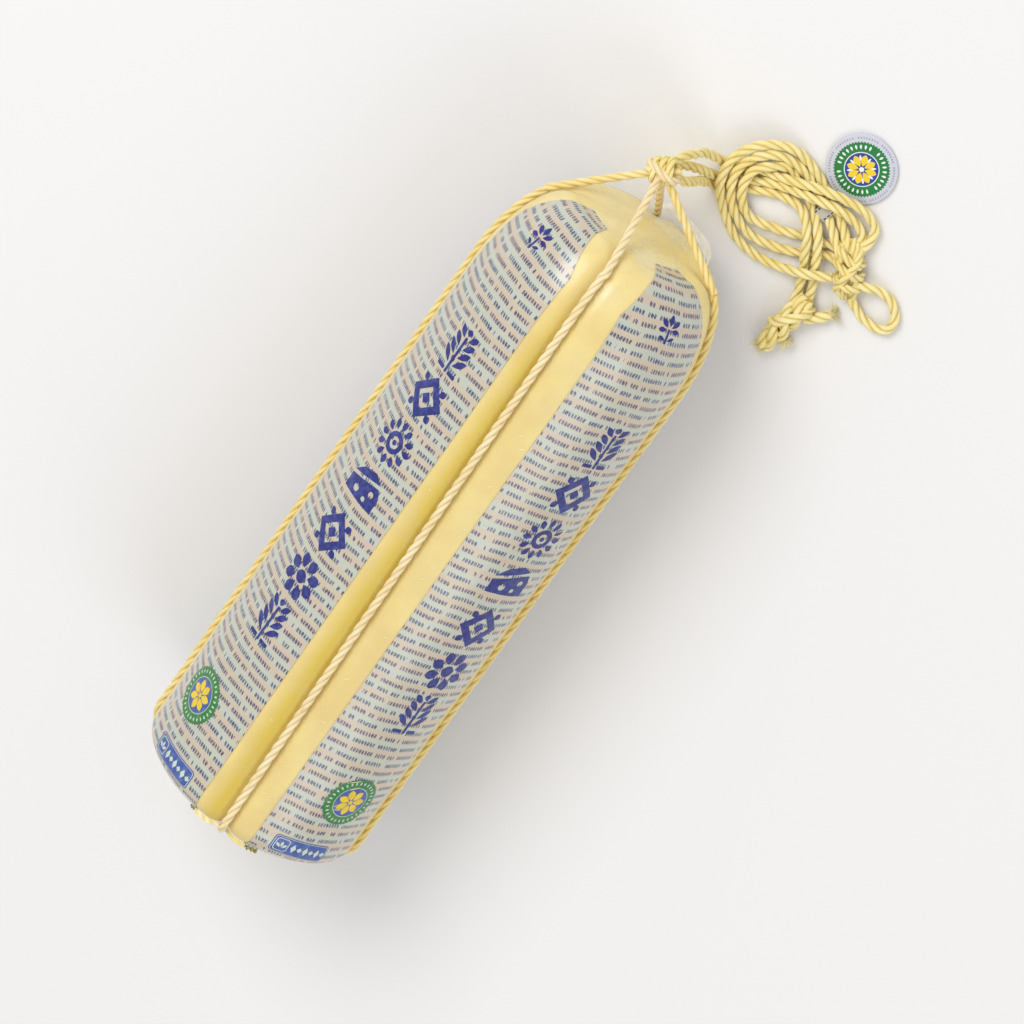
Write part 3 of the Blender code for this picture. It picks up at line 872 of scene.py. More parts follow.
def on_skin(shape, length, angle, lift):
    """Lay a flat shape on the skin, about a place, and turn it to face outwards."""
    radius = outline_at(length)[1]
    for vertex in shape.data.vertices:
        across, along = vertex.co.x * MM, vertex.co.y * MM
        vertex.co = skin(length + along, angle - across / radius, lift)
    shape.data.shade_smooth()
    shape.data.update()
    facing = shape.data.polygons[0]
    if facing.normal.dot(facing.center - Vector((facing.center.x, 0, AXIS_HEIGHT))) < 0:
        shape.data.flip_normals()
    return shape


def on_table(shape, middle, height):
    """Lay a flat shape level at a height, facing up."""
    for vertex in shape.data.vertices:
        vertex.co = Vector((middle.x + vertex.co.x * MM, middle.y + vertex.co.y * MM, height))
    shape.data.update()
    if shape.data.polygons[0].normal.z < 0:
        shape.data.flip_normals()
    return shape


def ink_material(name, colour, second):
    """Glossy printed ink, a little thin in places."""
    made, tree, shader = new_material(name, colour, 0.3)
    where = node(tree, "ShaderNodeTexCoord", {}).node.outputs["Object"]
    worn = node(tree, NOISE, {"Vector": where, "Scale": 320.0, "Detail": 3.0})
    share = node(tree, RANGE, {VALUE: worn, FROM_LOW: 0.45, FROM_HIGH: 0.68})
    tones = {SHARE: share, FIRST: linear(colour), SECOND: linear(second)}
    tree.links.new(node(tree, MIX, tones, data_type="RGBA"), shader.inputs["Base Color"])
    return made


# ------------------------------------------------------------------- the scene

rope_pale = rope_material("fibre_rope_pale", "F8E8C2", "EDD8A4", "DCC08A")
rope_yellow = rope_material("fibre_rope_yellow", "F8ECB2", "EEDB90", "D0B25C")
# The frayed fibres get a paler copy of the rope: painted light, to make up for the shade among the loose
# fibres.
rope_fray_painted_light = rope_material("fibre_rope_frayed_end_painted_light", "FDF5CC", "F6E9A8", "EBD88C")
rope_deep = rope_material("fibre_rope_deep", "F6E6AA", "EFD88E", "DCBC6C")
RIND_LIFT = -0.0004

finish_piece(make_skin("cheese_body", RIND_LIFT, cheese_material(), every=2), "film", "cheese")
finish_piece(make_skin("printed_film", 0.0, film_material()), "film", "cheese")

# The strands' crowns; the rope is as thick as its mean width, 4.6 mm.
HANGING_RADIUS = 0.00262
HANGING_LAY = 0.023
# How far a rope's crowns stay above the table.
TABLE_CLEAR = 0.0001
# The strands' routes, in millimetres, from the apex knot down and round the coil.
ROUTES = {
    "hanging_strand_1": [
        (206, 9, 56), (206.5, 5, 44), (206, 0.5, 33), (204, -5, 22), (201, -10.5, 9),
        (201, -17, 3), (206.5, -25, 3), (215, -41, 4), (221, -57.5, 8.5),
        (224.5, -76, 7.8), (220, -89.5, 3), (211, -93, 4),
    ],
    "hanging_strand_2": [
        (205, 8, 57), (203.5, -0.5, 50), (201.5, -5, 38), (198.5, -8.5, 20),
        (195.5, -11.5, 8), (195.5, -16.5, 2.5), (198, -22, 2.5), (202.5, -28, 2.5),
        (210.5, -44, 2.5), (212.5, -58, 6), (204.5, -67.5, 9.5), (193.5, -73, 7.3),
        (187, -76, 3.6), (176, -80.5, 2.5), (166, -83, 5),
    ],
    "hanging_strand_3": [
        (208, 9, 57), (213, 5, 46), (213.5, 1, 34), (213, -2, 23), (210, -7.5, 10.5),
        (208.5, -14, 3), (211.5, -20.5, 3), (215.5, -28, 3), (218.5, -37, 4.3),
        (222.5, -46.5, 7.5), (229, -64.5, 8.5), (231, -83, 6.5), (226, -93.5, 3.5),
        (218, -95.5, 4), (209, -94, 6),
    ],
    "coil_strand_1": [
        (208, -91, 7), (213.5, -84.5, 5), (220, -75.5, 2.5), (227.5, -62.5, 2.5),
        (233, -50, 2.5), (236, -37, 6.5), (229, -23.5, 8.3), (215.5, -15.5, 9.2), (200.5, -17, 9.5),
        (188.5, -26, 6), (179.5, -38.5, 3.5), (177.5, -54, 3.5), (181.5, -68.5, 5.5),
        (186, -77, 9.3), (189.5, -84, 9.4), (193, -91, 8.5),
    ],
    "coil_strand_2": [
        (203, -91, 9.5), (208.3, -83, 7.2), (216.2, -71.5, 3.2), (223.5, -59.5, 3), (229, -46.5, 3.5),
        (229, -32.5, 8), (218.5, -22.5, 8), (206, -21, 8), (193.5, -28, 6),
        (185, -41, 2.5), (186, -55.5, 2.5), (192.5, -71.5, 2.5), (199, -81, 2.5),
        (200.5, -92, 4),
    ],
    "coil_strand_3": [
        (166, -88, 5), (180, -86, 3), (187, -82, 3.5), (194.5, -79.5, 7),
        (207, -72.5, 8), (215.5, -62.5, 3), (222, -49.5, 2.5), (224.8, -43, 3),
        (224.5, -36.5, 6.5), (215.5, -27.5, 8.5), (202.5, -28.5, 8),
        (192.5, -38.5, 3.5), (195, -53, 2.5), (200.5, -67, 2.5), (204.5, -79, 2.5),
        (206.5, -90, 3),
    ],
    "bow_loop": [
        (196, -99, 6.5), (198.5, -107, 6.5), (200.5, -114, 4.5), (199.5, -120.5, 3),
        (196.5, -125.5, 2.5), (191.5, -129, 2.5), (186.5, -129, 2.5), (183, -125, 2.5),
        (182.5, -118.5, 2.5), (184, -112, 3), (189, -104, 5),
    ],
}


def scaled(points):
    return [Vector(point) * MM for point in points]


strands = {}
for number, (name, points) in enumerate(ROUTES.items()):
    line = smooth_route(scaled(points), ROPE_STEP, HANGING_RADIUS + TABLE_CLEAR)
    piece = make_rope(name + "_rope", line, HANGING_RADIUS, rope_yellow, HANGING_LAY, number * 0.7)
    finish_piece(piece, "hanging_rope", name)
    strands[name] = (piece, line)


# The ropes that bind the log, along the same lines as the solids. Their free runs from the
# apex knot to the shoulder are nearly straight, and the front one leaves the knot a little higher.
FRONT_RAISED = 0.003
# Every ninth point of the outline is enough for a smooth line.
PATH_SKIP = 9


def skin_path(rope, rise):
    """A binding rope's middle line down the log, raised at the bottom end where it crosses another."""
    top_x = TOP_X - LEAVES_SKIN[rope]
    corners = [point for point in reversed(PROFILE) if point[0] < top_x]
    points = []
    for (x0, r0), (x1, r1) in zip(corners, corners[1:]):
        length = hypot(x1 - x0, r1 - r0)
        out = -rope_sink(rope, r0)
        if x0 < BOTTOM_X:
            out += rise * exp(-(r0 / CROSSING_REACH) ** 2)
        r_line = r0 + (x0 - x1) / length * out
        angle = rope_angle(rope, x0)
        points.append(Vector((
            x0 + (r1 - r0) / length * out, r_line * sin(angle), AXIS_HEIGHT + r_line * cos(angle),
        )))
    return points


def binding(name, first, second, rise, material, phase, lift):
    """One rope: from the apex knot down one side, across the bottom end and back up the other."""
    there = skin_path(first, rise)
    back = list(reversed(skin_path(second, rise)))
    top = APEX + Vector((0.0, 0.0, lift))
    line = [top] + there[2::PATH_SKIP]
    line.append(Vector((BOTTOM_X - END_DOME + SINK_FREE - rise, 0, AXIS_HEIGHT)))
    line += back[:-2:PATH_SKIP] + [back[-3], top]
    route = smooth_route(line, ROPE_STEP)
    piece = make_rope(name + "_rope", route, ROPE_RADIUS, material, phase=phase)
    finish_piece(piece, "binding_rope", name)
    return route


bound_lines = [
    binding("binding_rope_upright", "front", "under", 0.0, rope_pale, 0.0, FRONT_RAISED),
    binding("binding_rope_level", "left", "right", CROSSING_RISE, rope_deep, 1.1, 0.0),
]


# The film's welded seam stands up along one side of the top's face: thin clear film, folded
# on itself, so it is whiter and less clear than the single film.
seam_film = new_material("clear_film_seam_gloss", "F8F6EC", 0.25, Alpha=0.55, Coat_Weight=0.5)[0]
SEAM_ROWS = 6
SEAM_END = 6
SEAM_UNEVEN = 0.22


def film_fin(name, foot, out, height, waves, seed):
    """A thin standing fold of film along a line of points, with an uneven free edge."""
    line = smooth_route(foot, 0.0010)
    verts, faces = [], []
    for i, point in enumerate(line):
        share = i / (len(line) - 1)
        run = (line[min(i + 1, len(line) - 1)] - line[max(i - 1, 0)]).normalized()
        aside = run.cross(out).normalized()
        uneven = 1 + SEAM_UNEVEN * noise.noise(Vector((share * 5, seed, 0)))
        tall = height * min(1.0, SEAM_END * share, SEAM_END * (1 - share)) * uneven
        for k in range(SEAM_ROWS + 1):
            rise = k / SEAM_ROWS
            sway = waves * rise * (sin(share * 23 + seed) + 0.6 * sin(share * 51 + 2 * seed))
            verts.append(point + out * (tall * rise) + aside * sway)
    for i in range(len(line) - 1):
        for k in range(SEAM_ROWS):
            a, b = i * (SEAM_ROWS + 1) + k, (i + 1) * (SEAM_ROWS + 1) + k
            faces.append((a, b, b + 1, a + 1))
    return add_mesh(name, verts, faces, seam_film)


fin = film_fin("film_seam", [
    (0.1735, 0.006, 0.012), (0.1745, -0.010, 0.017), (0.1750, -0.023, 0.026),
    (0.1748, -0.031, 0.036), (0.1738, -0.036, 0.047),
], Vector((0.93, -0.30, 0.12)).normalized(), 0.0042, 0.0007, 1.7)
weld_line = film_fin("film_seam_weld", [
    (0.1738, 0.003, 0.0145), (0.1746, -0.0115, 0.0200), (0.1750, -0.0235, 0.0290),
    (0.1746, -0.0305, 0.0385), (0.1738, -0.0345, 0.0480),
], Vector((0.95, -0.28, 0.12)).normalized(), 0.0018, 0.0004, 4.1)
finish_piece(join_into("film_seam", [fin, weld_line]), "film", "cheese")

# At the bottom rim the clear band of film is cut straight and stands out as a lip,
# with a darker crumpled fold beside it.
lip_film = new_material("clear_film_lip_gloss", "EBDA94", 0.3)[0]
fold_film = new_material("film_fold_dark_gloss", "A39A58", 0.3)[0]
LIP_ROWS = 5
LIP_BACK = 0.0115
LIP_LIFT = 0.0002
CRUMPLE = 0.0011


def rim_lip(name, first, last, reach, material, crumple):
    """A strip of film that carries on past the bottom rim between two angles."""
    columns = max(6, round(degrees(abs(last - first)) * 1.2))
    verts, faces = [], []
    for i in range(columns + 1):
        share = i / columns
        angle = first + (last - first) * share
        base = skin(BARREL_START - LIP_BACK, angle, LIP_LIFT)
        out = Vector((-0.80, 0.60 * sin(angle), 0.60 * cos(angle)))
        tall = reach * (1 + crumple * noise.noise(Vector((share * 6, 2.0, reach * 900))))
        for k in range(LIP_ROWS):
            rise = k / (LIP_ROWS - 1)
            bend = crumple * CRUMPLE * sin(share * 19 + 3 * rise)
            verts.append(base + out * (tall * rise) + Vector((bend, 0, bend)))
    for i in range(columns):
        for k in range(LIP_ROWS - 1):
            a, b = i * LIP_ROWS + k, (i + 1) * LIP_ROWS + k
            faces.append((a, b, b + 1, a + 1))
    return add_mesh(name, verts, faces, material)


lips = [
    rim_lip("lip_left", radians(1.5), radians(15.5), 0.0022, lip_film, 0.10),
    rim_lip("lip_right", radians(-15.5), radians(-3.0), 0.0024, lip_film, 0.08),
    rim_lip("lip_fold_right", radians(-23), radians(-15.8), 0.0022, fold_film, 0.9),
    rim_lip("lip_fold_left", radians(15.8), radians(19), 0.0015, fold_film, 0.9),
]
finish_piece(join_into("film_lip", lips), "film", "cheese")

# Fine pale scratches in the film, most of them across the clear band: each one's place along
# the log in metres and round it in degrees, its length in millimetres and its lean in degrees.
scratch = new_material("film_scratch_pale_gloss", "F3EDCF", 0.4)[0]
SCRATCH_LIFT = 0.00032
SCRATCH_WIDE = 0.5
SCRATCH_NARROW = 0.34
SCRATCHES = [
    (-0.150, -9.5, 2.6, 20), (-0.118, -11.0, 3.4, 12), (-0.091, -8.5, 2.2, 35),
    (-0.060, -12.0, 3.0, 8), (-0.022, -10.0, 2.8, 28), (0.013, -12.5, 3.2, 15),
    (0.040, -11.0, 2.6, 40), (0.066, -13.0, 4.0, 20), (0.072, -9.0, 3.2, 16),
    (-0.170, -8.0, 2.4, 25), (-0.134, 9.0, 1.8, -20), (0.020, 10.5, 2.0, -30),
    (-0.143, -43.0, 9.0, 22), (-0.147, -45.5, 6.0, 30), (-0.162, -44.0, 5.0, 12),
    (-0.160, -41.5, 3.5, 40), (0.085, 37.0, 4.0, 15), (-0.045, 52.0, 3.5, -25),
    (0.030, -58.0, 5.0, 18), (-0.100, -60.0, 4.5, 30),
]
scratch_parts = []
for i, (x, degrees_round, reach, lean) in enumerate(SCRATCHES):
    wide = SCRATCH_NARROW if reach < 5 else SCRATCH_WIDE
    loop = petal(radians(lean), -reach / 2, reach / 2, wide)
    mark = flat_shape(f"scratch_{i}", [loop], scratch, 1.2)
    scratch_parts.append(on_skin(mark, barrel(x), radians(degrees_round), SCRATCH_LIFT))
finish_piece(join_into("film_scratches", scratch_parts), "film", "cheese")

# The artwork printed on the film, the same on each of its four panels: opaque gloss inks.
ink_blue = ink_material("ink_dark_blue_gloss", "252C76", "3F4A92")
ink_violet = ink_material("ink_violet_blue_gloss", "25267A", "35388C")
ink_green = ink_material("ink_green_gloss", "2F7A3D", "4F8C4C")
ink_label = ink_material("ink_label_blue_gloss", "41599F", "5D73AE")
ink_pale = ink_material("ink_pale_gloss", "C9D6C8", "B5C7B4")
ink_yellow = ink_material("ink_yellow_gloss", "E9CB32", "E0BC28")
PANEL_MIDDLES = (45, -45, 135, -135)
# Each ink printed on another lies 0.08 mm above it, so that the two never meet.
INK_LIFT = 0.00012
INK_OVER = 0.00020
INK_TOP = 0.00028
MOTIFS = (sheaf_art, rosette_art, lozenge_art, wedge_art, sun_art, lozenge_art, sheaf_art)
MOTIF_START = -0.0955
MOTIF_PITCH = 0.0298
MOTIF_SCALE = 1.12
MOTIF_OFF = radians(-5.5)
BADGE_X = -0.156
BADGE_OFF = {1: radians(4), 2: radians(-3.5)}
LABEL_X = -0.1918
LABEL_OFF = {1: radians(-5), 2: radians(5)}
BOX_ACROSS = -11.4
SPRIG_FROM_END = 0.0655
BADGE = [
    ([toothed(15.6, 0.6, 52)], ink_green, INK_LIFT),
    ([circle(10.0, steps=40), circle(9.6, steps=40)] + flower(30, 11.6, 13.9, 1.1, steps=5),
     ink_pale, INK_OVER),
    ([circle(9.4, steps=36)], ink_label, INK_OVER),
    (flower(7, 1.4, 8.4, 4.2, 0.2) + [circle(1.3)], ink_yellow, INK_TOP),
]
LABEL = [
    ([box_loop(34.5, 11.4, 2.2)], ink_label, INK_LIFT),
    ([box_loop(33.3, 10.4, 1.8), box_loop(32.6, 9.8, 1.6)], ink_pale, INK_OVER),
    ([rhombus(3.2, 3.2 if i % 2 else 5.6, -4.2 + 3.8 * i) for i in range(6)]
     + [box_loop(8.2, 8.2, 1.8, BOX_ACROSS), box_loop(7.2, 7.2, 1.4, BOX_ACROSS)]
     + [petal(pi / 2 + lean, 0.5, 4.0, 1.6, BOX_ACROSS, -1.8) for lean in (-0.95, 0.0, 0.95)],
     ink_pale, INK_OVER),
]


def print_layers(name, layers, length, angle):
    """Print layers of artwork at one place, as one piece."""
    made = []
    for i, (loops, ink, lift) in enumerate(layers):
        made.append(on_skin(flat_shape(f"{name}_{i}", loops, ink), length, angle, lift))
    finish_piece(join_into(name, made), "film", "cheese")


def print_panel(number, middle):
    """One panel's artwork: a row of motifs, a badge and a label below it, and a sprig above."""
    tag = f"panel_{number}"
    motifs = []
    for i, art in enumerate(MOTIFS):
        loops = [[(a * MOTIF_SCALE, b * MOTIF_SCALE) for a, b in loop] for loop in art()]
        shape = flat_shape(f"{tag}_motif_{i + 1}", loops, ink_blue)
        place = barrel(MOTIF_START + MOTIF_PITCH * i)
        motifs.append(on_skin(shape, place, middle + MOTIF_OFF, INK_LIFT))
    finish_piece(join_into(f"{tag}_motifs", motifs), "film", "cheese")
    # The badge is a toothed green ring round a flower on blue.
    print_layers(f"{tag}_badge", BADGE, barrel(BADGE_X), middle + BADGE_OFF.get(number, 0.0))
    # The rounded label has a row of pale lozenges after a box.
    print_layers(f"{tag}_label", LABEL, barrel(LABEL_X), middle + LABEL_OFF.get(number, 0.0))
    sprig = [(sprig_art(), ink_violet, INK_LIFT)]
    print_layers(f"{tag}_sprig", sprig, END_LENGTH - SPRIG_FROM_END, middle)


for number, degrees_round in enumerate(PANEL_MIDDLES):
    print_panel(number + 1, radians(degrees_round))

# ------------------------------------------------------------------- the knots

# Radii of the ropes in the knots, in metres, and the spacing of the points along them.
KNOT_STEP = 0.0008
KNOT_ROPE = 0.0022
APEX_CORE = 0.0030
APEX_STUB = 0.0019
TAIL_ROPE = 0.0029
TAIL_OVER = 0.0027
STUB_ROPE = 0.0030
STUB_LAY = 0.020


def set_in(middle, turn, points):
    """Points given in millimetres in a knot's own frame, turned about Z and put in place."""
    turned = Matrix.Rotation(turn, 3, "Z")
    return [middle + turned @ (Vector(point) * MM) for point in points]


def knot_rope(name, points, radius, material, **more):
    return make_rope(
        name, smooth_route(points, KNOT_STEP, radius + TABLE_CLEAR), radius, material, **more,
    )


def fibre_mesh(name, fibres_at, sides, material):
    """Thin tapering fibres, each a list of (point, two directions across it, half thickness)."""
    verts, faces = [], []
    for rings in fibres_at:
        first = len(verts)
        for point, side, other, thick in rings:
            for k in range(sides):
                angle = 2 * pi * k / sides
                verts.append(point + side * (cos(angle) * thick) + other * (sin(angle) * thick))
        for step in range(len(rings) - 1):
            a, b = first + sides * step, first + sides * (step + 1)
            for k in range(sides):
                m = (k + 1) % sides
                faces.append((a + k, a + m, b + m, b + k))
        end = len(verts) - sides
        faces.append(tuple(range(first + sides - 1, first - 1, -1)))
        faces.append(tuple(range(end, end + sides)))
    piece = add_mesh(name, verts, faces, material)
    # The fibres take no painted shade.
    piece.data.attributes.new("groove_shade", "FLOAT", "POINT")
    piece.data.uv_layers.new(name="lay")
    return piece


FRAY_RINGS = 7
FRAY_THICK = 0.00032
FRAY_SPREAD = 0.0024
# The roots fill the cut end evenly, each a golden angle on from the last.
GOLDEN_TURN = 2.39996
# How far a fibre stays above the table.
FIBRE_CLEAR = 0.0003


def frayed_end(name, start, toward, count, spread, length, seed):
    """Loose fibre ends that fan out from a rope's cut end."""
    toward = toward.normalized()
    side = toward.orthogonal().normalized()
    other = toward.cross(side)
    fibres_at = []
    for i in range(count):
        pick = noise.noise_vector(Vector((i * 7.31 + seed, seed * 3.7, 1.3 * i)))
        pull = noise.noise(Vector((seed, i * 3.17, 0.5)))
        around = i * GOLDEN_TURN
        out = (i / count) ** 0.5
        root = start + (side * cos(around) + other * sin(around)) * out * FRAY_SPREAD
        across = side * (cos(around) * out + pick.x * 0.7)
        lean = (across + other * (sin(around) * out + pick.y * 0.7)) * spread
        reach = length * (0.75 + 0.5 * pull)
        rings = []
        for step in range(FRAY_RINGS):
            share = step / (FRAY_RINGS - 1)
            point = root + toward * (reach * share) + lean * share ** 1.6
            point += side * (0.0006 * sin(5 * share + i)) * share
            point.z = max(point.z, FIBRE_CLEAR)
            rings.append((point, side, other, FRAY_THICK * (1 - 0.6 * share)))
        fibres_at.append(rings)
    return fibre_mesh(name, fibres_at, 4, rope_fray_painted_light)


# The apex knot: the rope's turns round its own end, with the free strands behind.
APEX_RUN = radians(-56)
APEX_TURNS = 2.6
APEX_POINTS = 40
coil_line = []
for i in range(APEX_POINTS + 1):
    angle = radians(-100) + 2 * pi * APEX_TURNS * i / APEX_POINTS
    coil_line.append((-5.2 + 10.4 * i / APEX_POINTS, 5.4 * sin(angle), 6.0 * cos(angle)))
over_line = [
    (-7, 3.5, -3), (-6, 4.5, 2), (-2.5, 3.4, 6.6), (2.5, -1.2, 7.6), (6.0, -4.4, 4.0),
    (7.2, -4.6, -2),
]
core_line = [(-7.5, 0, 0.5), (-3, 1.5, 1.5), (3, -1.5, 0.5), (8.2, 0.5, -1.5)]
stub_line = [(-3.5, -2.5, 1), (-5.0, -4.6, -1), (-7.0, -5.8, -4.5), (-8.0, -6.2, -8)]
apex_parts = []
for name, line, radius, material, more in (
    ("apex_turns", coil_line, KNOT_ROPE, rope_yellow, {}),
    ("apex_over", over_line, KNOT_ROPE, rope_pale, {"phase": 1.0}),
    ("apex_core", core_line, APEX_CORE, rope_deep, {}),
    ("apex_stub", stub_line, APEX_STUB, rope_deep, {"taper": (0, 0.1)}),
):
    apex_parts.append(knot_rope(name, set_in(APEX, APEX_RUN, line), radius, material, **more))
finish_piece(join_into("apex_knot_turns", apex_parts), "binding_rope", "apex_knot")

# The main knot: turns across a bundle of strands.
MAIN_MIDDLE = Vector((0.2010, -0.0950, 0.0070))
MAIN_TURN = radians(31)
main_lines = [
    [(-15.5, 1.8, -2.5), (-10, 3.0, 0.5), (-3, 2.4, 2.2), (5, 3.0, 1.2), (12, 2.6, -0.5),
     (15.5, 1.0, -3)],
    [(-15.5, -2.6, -2.5), (-9, -3.4, 0.4), (0, -2.6, 1.8), (8, -3.0, 1.0), (15.5, -1.0, -3.2)],
    [(-9, -6.2, -4.6), (-9.4, -5.4, 1.0), (-8.6, -2.0, 5.0), (-6.4, 2.6, 5.2), (-4.6, 5.8, 1.6),
     (-4.4, 6.2, -4.6)],
    [(-3.2, -6.2, -4.6), (-3.6, -5.6, 1.4), (-1.0, -1.6, 6.6), (2.2, 2.6, 5.8), (4.0, 5.8, 1.4),
     (4.2, 6.2, -4.6)],
    [(3.0, -6.3, -4.6), (2.6, -5.8, 1.0), (4.8, -2.2, 5.2), (9.0, 1.8, 5.0), (11.0, 4.6, 1.0),
     (11.0, 5.2, -4.4)],
    [(-12.5, 2.6, 0.0), (-9.5, 5.2, 2.4), (-3.0, 1.0, 7.4), (4.0, -4.4, 4.6), (9.5, -5.6, 0.4),
     (13.0, -3.6, -3.0)],
]
main_parts = []
for i, line in enumerate(main_lines):
    placed = set_in(MAIN_MIDDLE, MAIN_TURN, line)
    main_parts.append(knot_rope(f"main_turn_{i}", placed, KNOT_ROPE, rope_yellow, phase=0.9 * i))
main_knot = finish_piece(join_into("main_knot_turns", main_parts), "hanging_rope", "main_knot")

# The tail: strands wound round one another, with frayed ends.
TAIL_MIDDLE = Vector((0.1600, -0.0850, 0.0066))
TAIL_TURN = radians(-8)
TAIL_POINTS = 32
TAIL_TURNS = 1.25


def tail_line(number):
    """One of the tail's three strands, widest at its middle and drooping at its end."""
    line = []
    for step in range(TAIL_POINTS + 1):
        share = step / TAIL_POINTS
        angle = 2 * pi * (number / 3 + TAIL_TURNS * share)
        wide = 3.7 * sin(pi * (0.12 + 0.80 * share)) ** 0.7
        drop = 7.8 * max(0.0, share - 0.55) ** 1.5
        line.append((16.0 - 36.5 * share, wide * cos(angle), 0.4 - drop + wide * sin(angle)))
    return set_in(TAIL_MIDDLE, TAIL_TURN, line)


tail_parts = []
for i in range(3):
    tail_parts.append(knot_rope(
        f"tail_strand_{i}", tail_line(i), TAIL_ROPE, rope_yellow, phase=1.3 * i, taper=(0, 0.03),
    ))
tail_parts.append(knot_rope("tail_over", set_in(TAIL_MIDDLE, TAIL_TURN, [
    (12, -4.8, -4), (10.5, -4.8, 1.5), (5.0, -1.0, 6.2), (-2.0, 3.2, 5.2), (-6.0, 5.4, 0.5),
    (-7.0, 5.0, -4.0),
]), TAIL_OVER, rope_yellow))
stub = smooth_route(scaled([(165, -91, 5), (169.5, -96.5, 4.5), (175, -101.5, 3.4)]), ROPE_STEP, STUB_ROPE)
tail_parts.append(make_rope("tail_stub_rope", stub, STUB_ROPE, rope_yellow, STUB_LAY, taper=(0, 0.04)))
for i, (start, toward, count, spread, length, seed) in enumerate((
    ((142.5, -82.0, 3.6), (-1, 0.12, -0.1), 130, 0.0026, 0.0062, 1.0),
    ((150.0, -89.5, 3.6), (-0.8, -0.75, -0.2), 90, 0.0024, 0.0050, 5.0),
    ((174.5, -101.0, 3.5), (0.72, -0.66, 0.0), 130, 0.0030, 0.0048, 9.0),
)):
    place = Vector(start) * MM
    tail_parts.append(frayed_end(f"tail_fray_{i + 1}", place, Vector(toward), count, spread, length, seed))
tail_knot = finish_piece(
    join_into("tail_knot_turns", tail_parts), "hanging_rope", "tail_knot", "tail_end", "tail_stub",
)

# Stray fibres that stand off the ropes, 3.5 to 8 mm long, one to every 17 or 53 points.
STRAY_RINGS = 6
STRAY_THICK = 0.00011
STRAY_MARGIN = 20
STRAY_REACH = 0.0035
STRAY_MORE = 0.0045
STRAY_RISE = 0.42
STRAY_SWAY = 0.3
HANGING_SPACING = 17
BINDING_SPACING = 53


def stray_fibres(name, lines, spacing, radius, material, slot, node_name):
    """One fibre every so many points along each rope, leaning forwards or back."""
    fibres_at = []
    for line in lines:
        for i in range(STRAY_MARGIN, len(line) - STRAY_MARGIN, spacing):
            count = len(fibres_at) + 1
            pick = noise.noise_vector(Vector((count * 3.71, 2.3 * count, 0.7)))
            run = (line[i + 1] - line[i - 1]).normalized() * (1 if pick.z > 0 else -1)
            aside = Vector((pick.x, pick.y, abs(pick.z) + 0.25))
            aside = (aside - run * aside.dot(run)).normalized()
            reach = STRAY_REACH + STRAY_MORE * abs(pick.x)
            other = run.cross(aside)
            rings = []
            for step in range(STRAY_RINGS):
                share = step / (STRAY_RINGS - 1)
                point = line[i] + aside * (radius * 0.9) + run * (reach * share)
                point += aside * (reach * STRAY_RISE * share ** 1.7)
                point += other * (reach * STRAY_SWAY * pick.y * share ** 2)
                point.z = max(point.z, FIBRE_CLEAR)
                rings.append((point, aside, other, STRAY_THICK * (1 - 0.5 * share)))
            fibres_at.append(rings)
    finish_piece(fibre_mesh(name, fibres_at, 3, material), slot, node_name)


stray_fibres(
    "hanging_rope_fibres", [line for _, line in strands.values()], HANGING_SPACING,
    HANGING_RADIUS, rope_yellow, "hanging_rope", "main_knot",
)
stray_fibres(
    "binding_rope_fibres", bound_lines, BINDING_SPACING,
    ROPE_RADIUS, rope_pale, "binding_rope", "binding_rope_upright",
)

# The strip that ties the seal to the strands: thin satin tape with stitched dark edges.
SEAL_STRIP = [
    (0.2306, -0.0716, 0.0022), (0.2262, -0.0704, 0.0046), (0.2200, -0.0688, 0.0056),
    (0.2140, -0.0672, 0.0056),
]
STRIP_HALF = 0.00375
STITCH_INNER = 0.0026
STITCH_OUTER = 0.0033
STITCH_LIFT = 0.00008
STITCH_EVERY = 3
strip_grey = new_material("seal_strip_grey_satin", "B9B6AC", 0.5)[0]
strip_dark = new_material("seal_strip_dark_ink", "3C3C40", 0.5)[0]
strip_line = smooth_route(SEAL_STRIP, 0.0008)
strip_side = Vector((0.0015, 0.0188, 0)).normalized()


def ribbon(name, near, far, lift, material, stitch):
    """A band of the strip between two distances from its middle, whole or in stitches."""
    verts, faces = [], []
    for point in strip_line:
        raised = point + Vector((0, 0, lift))
        verts += [raised + strip_side * near, raised + strip_side * far]
    for i in range(len(strip_line) - 1):
        if not stitch or i % stitch:
            faces.append((2 * i, 2 * i + 1, 2 * i + 3, 2 * i + 2))
    made = add_mesh(name, verts, faces, material)
    if made.data.polygons[0].normal.z < 0:
        made.data.flip_normals()
    return made


strip_parts = [ribbon("strip_card", -STRIP_HALF, STRIP_HALF, 0.0, strip_grey, 0)]
for i, (near, far) in enumerate(((-STITCH_OUTER, -STITCH_INNER), (STITCH_INNER, STITCH_OUTER))):
    strip_parts.append(ribbon(f"strip_stitch_{i}", near, far, STITCH_LIFT, strip_dark, STITCH_EVERY))
finish_piece(join_into("seal_strip_card", strip_parts), "seal_strip", "seal_strip")

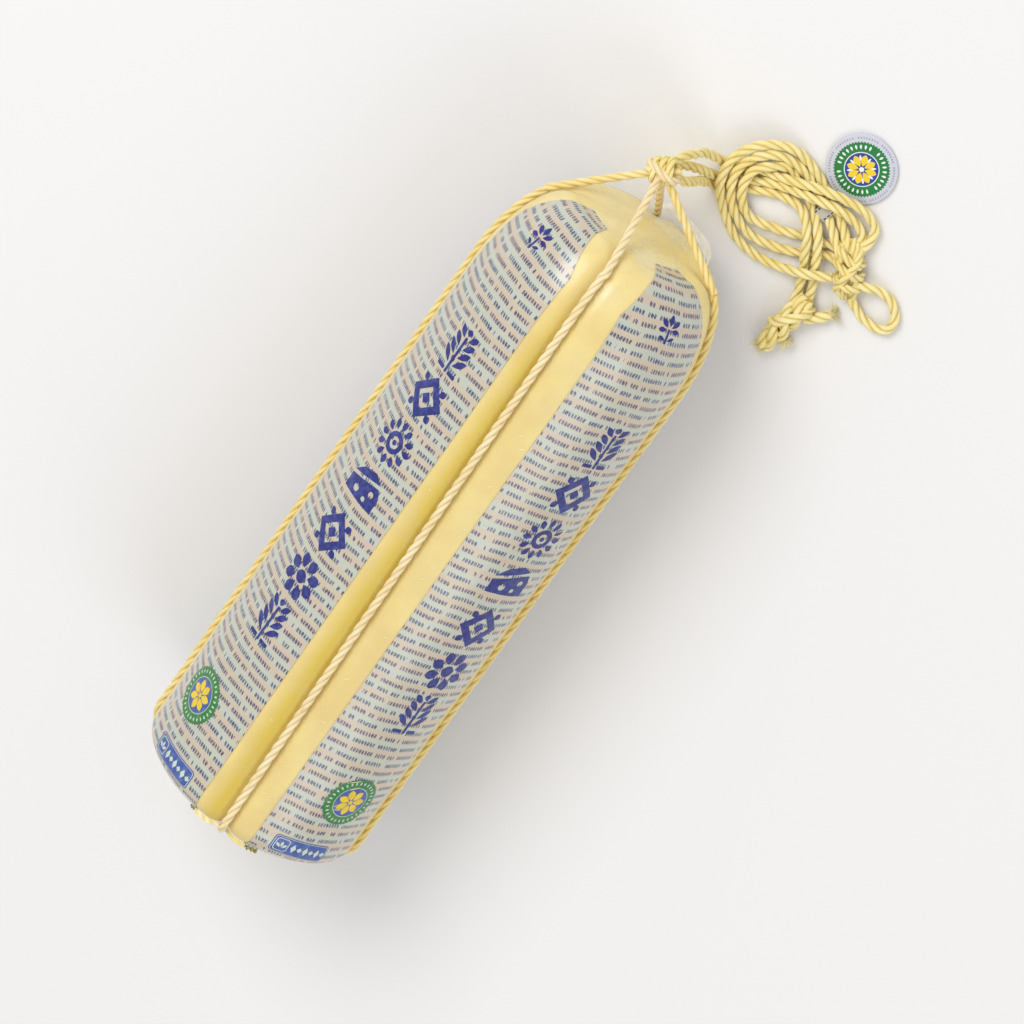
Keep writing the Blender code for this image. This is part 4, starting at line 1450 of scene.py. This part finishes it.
# The seal: a coated card disc, smooth with a soft sheen, with a toothed green ring and a flower.
SEAL_MIDDLE = Vector((0.2467, -0.0710, 0))
SEAL_RADIUS = 0.0184
SEAL_THICKNESS = 0.0018
SEAL_EDGE = 0.0004
SEAL_INK_STEP = 0.00006
card = new_material("seal_card_satin", "C9CBD6", 0.45)[0]
seal_green = new_material("seal_green_satin", "1A7A3B", 0.4)[0]
seal_white = new_material("seal_white_satin", "E9ECE6", 0.45)[0]
seal_blue = new_material("seal_blue_satin", "23409A", 0.4)[0]
seal_yellow = new_material("seal_yellow_satin", "EFCB2A", 0.4)[0]
seal_grey = new_material("seal_grey_ink", "8C8FA0", 0.5)[0]
bpy.ops.object.select_all(action="DESELECT")
bpy.ops.mesh.primitive_cylinder_add(
    vertices=96, radius=SEAL_RADIUS, depth=SEAL_THICKNESS,
    location=SEAL_MIDDLE + Vector((0, 0, SEAL_THICKNESS / 2)),
)
disc = bpy.context.object
disc.name = "seal_card"
disc.data.materials.append(card)
bpy.ops.object.mode_set(mode="EDIT")
bpy.ops.mesh.select_all(action="SELECT")
bpy.ops.mesh.bevel(offset=SEAL_EDGE, segments=3, affect="EDGES")
bpy.ops.object.mode_set(mode="OBJECT")
bpy.ops.object.transform_apply(location=True, rotation=True, scale=True)
bpy.ops.object.shade_smooth_by_angle(angle=radians(40))
finish_piece(disc, "seal", "seal_disc")
seal_layers = [
    ([toothed(14.5, 0.6, 56)], seal_green),
    ([circle(9.1, steps=48), circle(8.6, steps=48)]
     + flower(30, 10.4, 13.0, 1.15, steps=5, leave_out=10), seal_white),
    ([circle(8.6, steps=48)], seal_blue),
    (flower(8, 1.6, 7.8, 3.6, 0.3), seal_yellow),
    ([circle(1.3)] + flower(8, 4.4, 7.6, 1.1, pi / 8 + 0.3), seal_white),
    (flower(72, 15.9, 17.1, 0.5, steps=4, leave_out=9), seal_grey),
]
seal_art = []
for i, (loops, ink) in enumerate(seal_layers):
    shape = flat_shape(f"seal_art_{i}", loops, ink, 0)
    seal_art.append(on_table(shape, SEAL_MIDDLE, SEAL_THICKNESS + SEAL_INK_STEP * (i + 1)))
finish_piece(join_into("seal_artwork", seal_art), "seal", "seal_disc")

# ------------------------------------------------------------ the floor

floor_material = new_material("floor_matt_paint", "E9E8E8", 0.9)[0]
bpy.ops.mesh.primitive_plane_add(size=12, location=(0, 0, -0.0005))
floor = bpy.context.object
floor.name = "floor"
floor.data.materials.append(floor_material)
